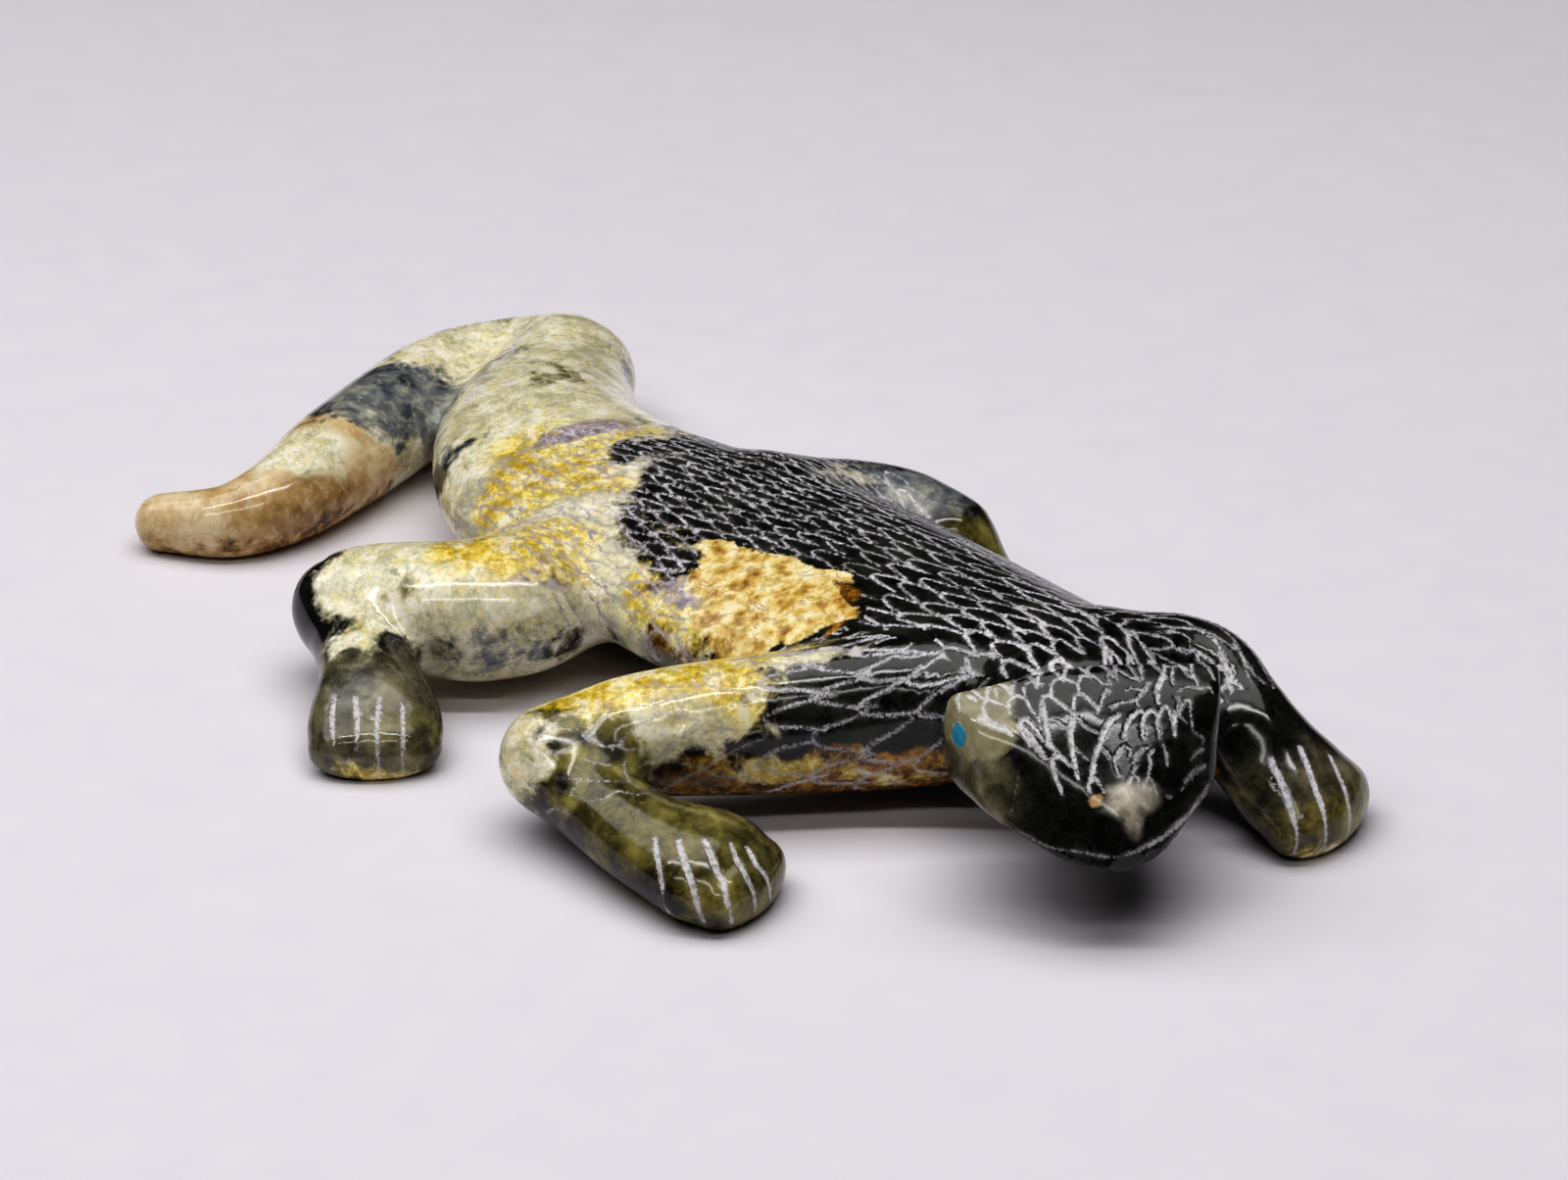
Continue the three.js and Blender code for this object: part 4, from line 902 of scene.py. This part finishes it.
STAINS = [
    # tail and hump
    ("cream", (2, 36, 8), (19, 17, 16), 0, 1), ("tan", (-27, 32, 4), (16, 10, 8), 0, 1),
    ("ash", (-11, 41, 8), (9, 5.5, 5), -27, 0.85), ("charcoal", (-9, 43, 9.5), (6, 3, 2.2), -28, 0.3),
    # partly cream stone, partly a painted highlight: pale cream along the top of the tail
    ("cream", (-21.5, 34, 8), (6.5, 3.4, 2.8), -25, 0.95),
    ("charcoal", (-1.5, 41.5, 9.5), (2.6, 2.2, 3), 0, 0.6),
    ("amber", (-18, 30.5, 0.8), (16, 6, 2.2), -8, 0.7), ("olive", (0.5, 32, 12), (3.6, 2.6, 1.6), 30, 0.55),
    ("ash", (-10.5, 20, 9), (2.4, 6, 3.6), 10, 0.7), ("ash", (10, 38, 6), (3.5, 6, 4), 0, 0.5),
    # rump and flanks
    ("cream", (-6, 15, 8), (11, 9, 14), 0, 0.9), ("gold", (-6, 16, 12), (6, 5, 3), 25, 0.8),
    ("gold", (0, 15.5, 13), (9, 1.8, 3), 12, 0.9), ("lilac", (-1.5, 17.8, 12.8), (5.5, 1.8, 2), 15, 0.8),
    ("charcoal", (2, 11.6, 13.2), (8, 1.8, 3), 12, 0.9), ("gold", (-9, 8.5, 11), (7, 7, 5), 0, 0.9),
    ("gold", (-8, -6, 8), (7, 10, 8), 15, 1), ("cream", (-9.6, -7, 6), (3, 6, 3.6), 12, 0.7),
    ("lilac", (-6.5, 3, 12), (3.4, 3, 2), 0, 0.6), ("amber", (-7.4, -13, 7), (1.8, 2.6, 1.6), 0, 0.6),
    ("olive", (-9, -10, 3.6), (3, 7, 2.2), 15, 0.6),
    # right thigh and hind foot
    ("cream", (-18, 1, 8), (14, 9, 11), 0, 1), ("gold", (-14.5, 1, 11), (6.5, 5, 3.6), 0, 0.95),
    ("lilac", (-14, -2.5, 10.4), (3, 1.6, 1.8), 20, 0.5), ("ash", (-19, -5.4, 5), (8, 3, 2.6), -8, 0.65),
    ("olive", (-24, 1, 10), (3.4, 1.8, 1.6), -20, 0.5),
    ("charcoal", (-27.4, -0.8, 6.4), (5.5, 1.2, 1.8), -55, 0.95),
    ("charcoal", (-31.6, 5, 6.4), (2.6, 5, 4.5), 0, 0.9), ("moss", (-32.6, 3, 8.4), (2.4, 3, 2.4), 0, 0.7),
    # painted shade: charcoal darkens the crotch between the right thigh and the flank
    ("charcoal", (-11.5, -5.4, 4.4), (2.6, 3, 2.6), 0, 0.7),
    ("moss", (-30, -7, 3), (7, 8.5, 5.2), 0, 1), ("olive", (-27, -8, 1.5), (3, 6, 3), 0, 0.7),
    ("gold", (-30.5, -11.5, 0.6), (5, 2, 1.6), 0, 0.6),
    ("ash", (-30, -6.2, 6), (3, 2.4, 1.6), 0, 0.4),
    # gold patch and the dark streak beside it
    ("charcoal", (-4.6, -5, 11.8), (1.7, 7, 3), 12, 0.95),
    ("gold_vein", (-0.7, -15.6, 11), (5.2, 8.4, 7), 20, 1),
    ("amber", (4.4, -18.5, 13), (0.8, 2.4, 1.6), 8, 0.6),
    ("amber", (1.8, -23.4, 12.2), (1.6, 0.8, 1.4), 0, 0.5),
    ("lilac", (-5.2, -11, 10.8), (0.8, 3, 1.4), 15, 0.6),
    # right arm and forefoot
    ("gold", (-13, -25.5, 10.5), (11.5, 4.6, 5), 4, 1), ("gold", (-21, -22.6, 9.4), (3.6, 3, 3), 0, 0.9),
    ("cream", (-14.5, -27.8, 9.2), (5.5, 2, 2.6), 0, 0.85),
    # partly pale stone, partly a painted highlight: a bright cream spot on the shoulder
    ("cream", (-1.6, -27.6, 12.2), (3.2, 1.2, 1.6), -6, 0.8),
    ("olive", (-21, -27.5, 7), (5.5, 4.5, 4.4), 0, 0.9),
    ("cream", (-24.6, -24.6, 7.4), (2.8, 5, 4.4), 0, 0.85),
    ("charcoal", (-20.2, -26.3, 8.8), (3.4, 1.1, 1.4), 0, 0.66),
    ("charcoal", (-18.2, -28.2, 7.8), (1.8, 1.2, 1.2), -20, 0.8),
    ("charcoal", (-21.6, -28.9, 6.4), (1.2, 1.2, 0.9), 0, 0.8),
    ("charcoal", (-19, -31.4, 6.9), (2.8, 1.1, 1), -20, 0.85),
    ("amber", (-2, -31.5, 4), (14, 4.5, 2.9), -12, 0.95),
    ("gold", (-6.5, -30.5, 5.6), (5, 1.6, 1.4), -10, 0.8),
    ("gold", (2.6, -33, 4.4), (5, 1.6, 1.2), -14, 0.55),
    ("olive", (-15.5, -38, 3.5), (9.5, 8.5, 6), 0, 1),
    ("charcoal", (-21.6, -39, 1.2), (3.4, 6, 2.8), 30, 0.85),
    # the next two stains make the bottoms of the right toes and the low outer side of the right forearm darker,
    # next to the floor
    ("charcoal", (-17.5, -43.4, 0.8), (4, 1.6, 1.4), 0, 0.6),
    ("charcoal", (-24, -29, 2.4), (5, 4, 3), 0, 0.7),
    # left legs
    ("ash", (19, 3, 10.4), (7, 4.4, 3.4), 0, 0.85), ("cream", (15, 5, 10.6), (2.4, 1.8, 1.4), 0, 0.6),
    ("olive", (23.5, -2, 5), (3.5, 3.5, 4), 0, 0.85), ("gold", (24, -3.4, 3.4), (3, 2.4, 2.4), 0, 0.7),
    ("amber", (22.8, -43, 2.6), (2.4, 5.5, 3.4), 10, 0.75), ("moss", (30, -46, 4), (6.5, 4.5, 3), 0, 0.75),
    ("olive", (30.5, -49, 2), (6.5, 3.4, 2.6), 0, 0.9), ("gold", (29.5, -50.4, 0.6), (6.5, 2.2, 1.4), 0, 0.6),
    # head
    ("moss", on_head(8.9, 1.0, -0.4), (3.0, 5, 3), 0, 0.9),
    ("khaki", on_head(9.3, -2.3, 3.1), (4.0, 5.0, 2.45), 0, 1),
    ("khaki", on_head(6.9, -4.0, 4.0), (2.2, 1.6, 1.8), 0, 0.8),
    ("pearl", on_head(-1.3, 5.7, 0.7), (2.5, 1.1, 1.2), 0, 0.95),
    ("pearl", on_head(-0.9, 7.1, -0.4), (0.9, 1.2, 1.1), 0, 0.75),
    ("tan", on_head(1.35, 5.5, 0.7), (0.5, 0.4, 0.5), 0, 1),
]
KINDS = ["moss", "ash", "olive", "amber", "cream", "lilac", "tan", "gold", "gold_vein", "khaki", "pearl"]
PALE = ("cream", "tan", "gold", "gold_vein")
lying = {kind: np.zeros(count) for kind in ["charcoal"] + KINDS}
lying["charcoal"] += 1
wander = np.array([noise.noise_vector(Vector(v) * 0.22) * 1.4 + noise.noise_vector(Vector(v) * 0.7) * 0.6
                   for v in q])
# on the face the edges wander less, as its stains are small
in_face = np.clip((q[:, 1] + 46) / 4, 0.15, 1)[:, None]
for kind, middle, half, degrees, strength in STAINS:
    c, s = math.cos(math.radians(degrees)), math.sin(math.radians(degrees))
    x, y, z = (q + wander * in_face - middle).T
    reach = np.sqrt(((c * x + s * y) / half[0]) ** 2 + ((c * y - s * x) / half[1]) ** 2 + (z / half[2]) ** 2)
    if kind == "gold_vein":
        reach = np.maximum(gold_patch(q), reach * 0.8)
    soft = np.clip(1.2 / min(half), 0.15, 0.6)
    share = strength * np.clip(0.5 + (1 - reach) / (2 * soft), 0, 1)
    for other in lying:
        lying[other] *= 1 - share
    lying[kind] += share
print("share of each kind:", {kind: round(float(v.mean()), 3) for kind, v in lying.items()})

# %% Layers for the shader
below = lying["charcoal"].copy()
for kind in KINDS:
    below += lying[kind]
    layer = carving.data.attributes.new(kind, "FLOAT", "POINT")
    layer.data.foreach_set("value", (lying[kind] / np.maximum(below, 1e-6)).astype(np.float32))
paste = np.min([np.abs(np.linalg.norm(np.cross(skin - p, a), axis=1) - EYE_RADIUS - 0.09)
                + 9 * (np.abs((skin - p) @ a) > 2) for p, a in eye_places.values()], axis=0)
pale = sum(lying[kind] for kind in PALE)
for name, values in (("scratch", gap_to), ("chalk", white), ("paste", np.minimum(paste, 9)), ("crust", crust),
                     ("pale", pale)):
    layer = carving.data.attributes.new(name, "FLOAT", "POINT")
    layer.data.foreach_set("value", values.astype(np.float32))
print("layers:", len(KINDS) + 5)

# %% [markdown]
# ## Serpentine
# Serpentine takes a soft, waxy polish: a refractive index of about 1.56 and highlights that are a
# little wide. Its colours lie in clouds of a few millimetres with finer mottling and hair veins, so
# every kind of stone is a colour ramp over clouds, with blotches, flecks and veins in a colour of
# its own. The pale kinds are mottled and share one busy mix of noises; the dark kinds, the tan and
# the pearl are evener and share a calm one. The gold patch follows the hollows of its crust.

# %% Clouds, blotches and veins
serpentine = new_material("polished_serpentine")
place = add(serpentine, "ShaderNodeTexCoord")
texture = {}
for name, per_mm, detail, roughness, distortion in (
        ("wide", 0.16, 3.0, 0.55, 0.6), ("middling", 0.55, 4.0, 0.6, 0.4), ("grainy", 2.4, 4.0, 0.65, 0.0),
        ("blotch", 0.5, 5.0, 0.65, 0.6), ("fleck", 1.1, 3.0, 0.6, 0.3), ("vein", 0.24, 4.0, 0.6, 0.9),
        ("fine", 6.0, 3.0, 0.7, 0.0)):
    texture[name] = add(serpentine, "ShaderNodeTexNoise", {
        "Vector": (place, "Object"), "W": float(len(texture)), "Scale": per_mm / MM, "Detail": detail,
        "Roughness": roughness, "Distortion": distortion}, noise_dimensions="4D")
mottle, calm = (add(serpentine, "ShaderNodeMath", {0: texture["wide"], 1: share}, operation="MULTIPLY")
                for share in (0.25, 0.6))
for name, share in (("middling", 0.45), ("grainy", 0.3)):
    mottle = add(serpentine, "ShaderNodeMath", {0: texture[name], 1: share, 2: mottle}, operation="MULTIPLY_ADD")
calm = add(serpentine, "ShaderNodeMath", {0: texture["middling"], 1: 0.4, 2: calm}, operation="MULTIPLY_ADD")
blotches = add(serpentine, "ShaderNodeMapRange", {"Value": texture["blotch"], "From Min": 0.51, "From Max": 0.6})
flecks = add(serpentine, "ShaderNodeMapRange", {"Value": texture["fleck"], "From Min": 0.54, "From Max": 0.61})
off_vein = add(serpentine, "ShaderNodeMath", {0: texture["vein"], 1: 0.5}, operation="SUBTRACT")
off_vein = add(serpentine, "ShaderNodeMath", {0: off_vein}, operation="ABSOLUTE")
veins = add(serpentine, "ShaderNodeMapRange", {
    "Value": off_vein, "From Max": 0.014, "To Min": 1.0, "To Max": 0.0})
hollow = add(serpentine, "ShaderNodeTexVoronoi", {"Vector": (place, "Object"), "Scale": HOLLOWS_PER_MM / MM})
pitted = add(serpentine, "ShaderNodeMath", {
    0: (hollow, "Distance"), 1: 0.25, 2: mottle}, operation="MULTIPLY_ADD")

# %% Kinds of stone
STONE = {
    # kind: colours from the dark to the pale clouds, then colour and share of blotches, flecks and veins
    "charcoal": (
        ["#0C0D0C", "#151614", "#22231F", "#34352F"], ("#2B2C25", 0.4), ("#3B3B34", 0.2), ("#4A4A44", 0.3)),
    "moss": (
        ["#3A382C", "#545040", "#706A52", "#8C8568"], ("#343226", 0.3), ("#86806A", 0.15), ("#9A947A", 0.2)),
    "ash": (
        ["#50545A", "#74777A", "#98988F", "#BDBAAD"], ("#454A4C", 0.4), ("#C4BFAB", 0.4), ("#A4A498", 0.3)),
    "olive": (
        ["#2C2A18", "#524D2A", "#7C7340", "#A2985A"], ("#32301F", 0.4), ("#978D54", 0.25), ("#A39B62", 0.3)),
    "amber": (
        ["#3A240C", "#7A5014", "#B07A22", "#DDB04A"], ("#3A260E", 0.4), ("#E3BE5E", 0.4), ("#CCA248", 0.3)),
    "cream": (
        ["#BDB896", "#E0D9B8", "#F6EFD4", "#FFFCF2"], ("#BFC0A8", 0.45), ("#EAD67E", 0.45), ("#94947C", 0.4)),
    "lilac": (
        ["#71696F", "#A0959B", "#C5B8BD", "#E2D9DC"], ("#DABD62", 0.5), ("#756D73", 0.5), ("#57525A", 0.4)),
    "tan": (
        ["#98784A", "#B89766", "#D2B583", "#E8D5B0"], ("#A07C48", 0.3), ("#F0E2C4", 0.3), ("#96764A", 0.3)),
    "gold": (
        ["#B3952E", "#E2C44E", "#FAE68C", "#FFFBE0"], ("#FFFAF0", 0.6), ("#A89E44", 0.55), ("#978640", 0.5)),
    "gold_vein": (
        ["#8C6630", "#D0A854", "#F0DA92", "#FFF7D6"], ("#E2BE64", 0.5), ("#AE9048", 0.5), ("#A5693A", 0.6)),
    "khaki": (
        ["#757055", "#8B8566", "#9D9676", "#ADA688"], ("#7C7656", 0.3), ("#A49D7C", 0.25), ("#B0A98A", 0.2)),
    "pearl": (
        ["#6E675C", "#9A9282", "#C6BEAE", "#F0E8DA"], ("#8F8472", 0.2), ("#F0E8DA", 0.2), ("#8F8576", 0.2)),
}
RAMPS = {kind: (calm, (0.4, 0.47, 0.53, 0.6)) for kind in ("charcoal", "moss", "ash", "khaki", "pearl")}
RAMPS["olive"] = (calm, (0.36, 0.44, 0.51, 0.6))
RAMPS["tan"] = (calm, (0.38, 0.45, 0.53, 0.62))
RAMPS["gold_vein"] = (pitted, (0.5, 0.58, 0.65, 0.76))
colour_of = {}
for kind, (tones, *extras) in STONE.items():
    source, places = RAMPS.get(kind, (mottle, (0.41, 0.475, 0.53, 0.6)))
    tone = add(serpentine, "ShaderNodeValToRGB", {"Fac": source}, stops=list(zip(places, tones)))
    for mask, (hex_colour, share) in zip((blotches, flecks, veins), extras):
        amount = add(serpentine, "ShaderNodeMath", {0: mask, 1: share}, operation="MULTIPLY")
        tone = add(serpentine, "ShaderNodeMix", {
            "Factor": amount, "A": tone, "B": linear(hex_colour)}, data_type="RGBA")
    colour_of[kind] = tone
print("kinds of stone:", list(colour_of))

# %% Laying the kinds over one another
colour = colour_of["charcoal"]
wavy = add(serpentine, "ShaderNodeMath", {0: texture["middling"], 1: 1.5, 2: -0.95}, operation="MULTIPLY_ADD")
wavy = add(serpentine, "ShaderNodeMath", {0: texture["grainy"], 1: 0.4, 2: wavy}, operation="MULTIPLY_ADD")
EDGES = {  # how ragged and how soft the edge of a kind is
    "khaki": (0.5, 0.12), "amber": (0.5, 0.15), "gold_vein": (1.0, 0.1), "moss": (0.4, 0.4),
    "pearl": (0.25, 0.3), "olive": (0.7, 0.34), "ash": (0.8, 0.34)}
for kind in KINDS:
    lies = add(serpentine, "ShaderNodeAttribute", attribute_name=kind)
    ragged, half_blend = EDGES.get(kind, (1.0, 0.22))
    edge = add(serpentine, "ShaderNodeMath", {0: wavy, 1: ragged, 2: (lies, "Fac")}, operation="MULTIPLY_ADD")
    mask = add(serpentine, "ShaderNodeMapRange", {
        "Value": edge, "From Min": 0.5 - half_blend, "From Max": 0.5 + half_blend},
        interpolation_type="SMOOTHSTEP")
    present = add(serpentine, "ShaderNodeMapRange", {"Value": (lies, "Fac"), "From Max": 0.12})
    mask = add(serpentine, "ShaderNodeMath", {0: mask, 1: present}, operation="MULTIPLY")
    colour = add(serpentine, "ShaderNodeMix", {
        "Factor": mask, "A": colour, "B": colour_of[kind]}, data_type="RGBA")
print("kinds laid over the charcoal:", len(KINDS))

# %% [markdown]
# ## Chalky scratches and setting paste
# A scratch scatters light. It looks white on the dark stone and lilac grey on the pale stone, with a
# broken edge, and some of its dust stays rubbed into the polish beside it. Fine noise is added to
# the distance that the skin carries, so that the edge breaks up in grains of a sixth of a
# millimetre. The pale ring of paste round the eyes is laid in the same way.

# %% Scratch colour
carried = {name: add(serpentine, "ShaderNodeAttribute", attribute_name=name)
           for name in ("scratch", "chalk", "paste", "crust", "pale")}
edge = add(serpentine, "ShaderNodeMath", {0: texture["fine"], 1: 0.6, 2: -0.3}, operation="MULTIPLY_ADD")
edge = add(serpentine, "ShaderNodeMath", {0: edge, 1: (carried["scratch"], "Fac")}, operation="ADD")
line = add(serpentine, "ShaderNodeMapRange", {
    "Value": edge, "From Min": -0.06, "From Max": 0.05, "To Min": 1.0, "To Max": 0.0},
    interpolation_type="SMOOTHSTEP")
skips = add(serpentine, "ShaderNodeMapRange", {
    "Value": texture["grainy"], "From Min": 0.4, "From Max": 0.54, "To Min": 0.4, "To Max": 1.0})
scratched = add(serpentine, "ShaderNodeMath", {0: line, 1: skips}, operation="MULTIPLY")
scratched = add(serpentine, "ShaderNodeMath", {
    0: scratched, 1: (carried["chalk"], "Fac")}, operation="MULTIPLY", use_clamp=True)
beside_line = add(serpentine, "ShaderNodeMapRange", {
    "Value": (carried["scratch"], "Fac"), "From Max": 0.35, "To Min": 0.22, "To Max": 0.0})
rubbed = add(serpentine, "ShaderNodeMapRange", {
    "Value": texture["fleck"], "From Min": 0.44, "From Max": 0.62})
dust = add(serpentine, "ShaderNodeMath", {0: beside_line, 1: rubbed}, operation="MULTIPLY")
dust = add(serpentine, "ShaderNodeMath", {0: dust, 1: (carried["chalk"], "Fac")}, operation="MULTIPLY")
colour = add(serpentine, "ShaderNodeMix", {
    "Factor": dust, "A": colour, "B": linear("#A9A4A8")}, data_type="RGBA")
on_dark = add(serpentine, "ShaderNodeMix", {
    "Factor": texture["fine"], "A": linear("#C2BCC4"), "B": linear("#FFFFFF")}, data_type="RGBA")
chalk = add(serpentine, "ShaderNodeMix", {
    "Factor": (carried["pale"], "Fac"), "A": on_dark, "B": linear("#A3979D")}, data_type="RGBA")
colour = add(serpentine, "ShaderNodeMix", {
    "Factor": scratched, "A": colour, "B": chalk}, data_type="RGBA")
ring = add(serpentine, "ShaderNodeMapRange", {
    "Value": (carried["paste"], "Fac"), "From Min": 0.05, "From Max": 0.11, "To Min": 0.85, "To Max": 0.0})
colour = add(serpentine, "ShaderNodeMix", {
    "Factor": ring, "A": colour, "B": linear("#CFCBB8")}, data_type="RGBA")

# %% The polished surface
rough = add(serpentine, "ShaderNodeMath", {0: scratched, 1: 0.45, 2: 0.13}, operation="MULTIPLY_ADD")
rough = add(serpentine, "ShaderNodeMath", {0: dust, 1: 0.35, 2: rough}, operation="MULTIPLY_ADD")
rough = add(serpentine, "ShaderNodeMath", {
    0: (carried["crust"], "Fac"), 1: 0.16, 2: rough}, operation="MULTIPLY_ADD")
relief = add(serpentine, "ShaderNodeMath", {0: scratched, 1: -0.6, 2: mottle}, operation="MULTIPLY_ADD")
bump = add(serpentine, "ShaderNodeBump", {"Strength": 0.07, "Distance": 0.1 * MM, "Height": relief})
polish = add(serpentine, "ShaderNodeBsdfPrincipled", {
    "Base Color": colour, "Roughness": rough, "IOR": 1.56, "Specular IOR Level": 0.45, "Normal": bump})
add(serpentine, "ShaderNodeOutputMaterial", {"Surface": polish})
carving.data.materials.clear()
carving.data.materials.append(serpentine)
for face in carving.data.polygons:
    face.material_index = 0
print("serpentine has", len(serpentine.node_tree.nodes), "nodes")

# %% [markdown]
# ## Turquoise
# The eyes are stabilised turquoise: an even sky blue, faintly clouded, polished like porcelain.

# %% Turquoise
turquoise = new_material("polished_turquoise")
blue_cloud = add(turquoise, "ShaderNodeTexNoise", {"Scale": 1.6 / MM, "Detail": 4.0})
blue = add(turquoise, "ShaderNodeMix", {
    "Factor": blue_cloud, "A": linear("#157F9E"), "B": linear("#2FA6C4")}, data_type="RGBA")
gloss = add(turquoise, "ShaderNodeBsdfPrincipled", {"Base Color": blue, "Roughness": 0.3, "IOR": 1.61})
add(turquoise, "ShaderNodeOutputMaterial", {"Surface": gloss})
for eye in eyes.values():
    eye.data.materials.append(turquoise)
print("turquoise on", len(eyes), "eyes")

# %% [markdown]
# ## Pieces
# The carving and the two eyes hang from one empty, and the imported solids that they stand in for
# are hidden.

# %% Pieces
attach(carving, "root")
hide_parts("stone_lizard")
for name, eye in eyes.items():
    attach(eye, "root")
    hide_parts(name)
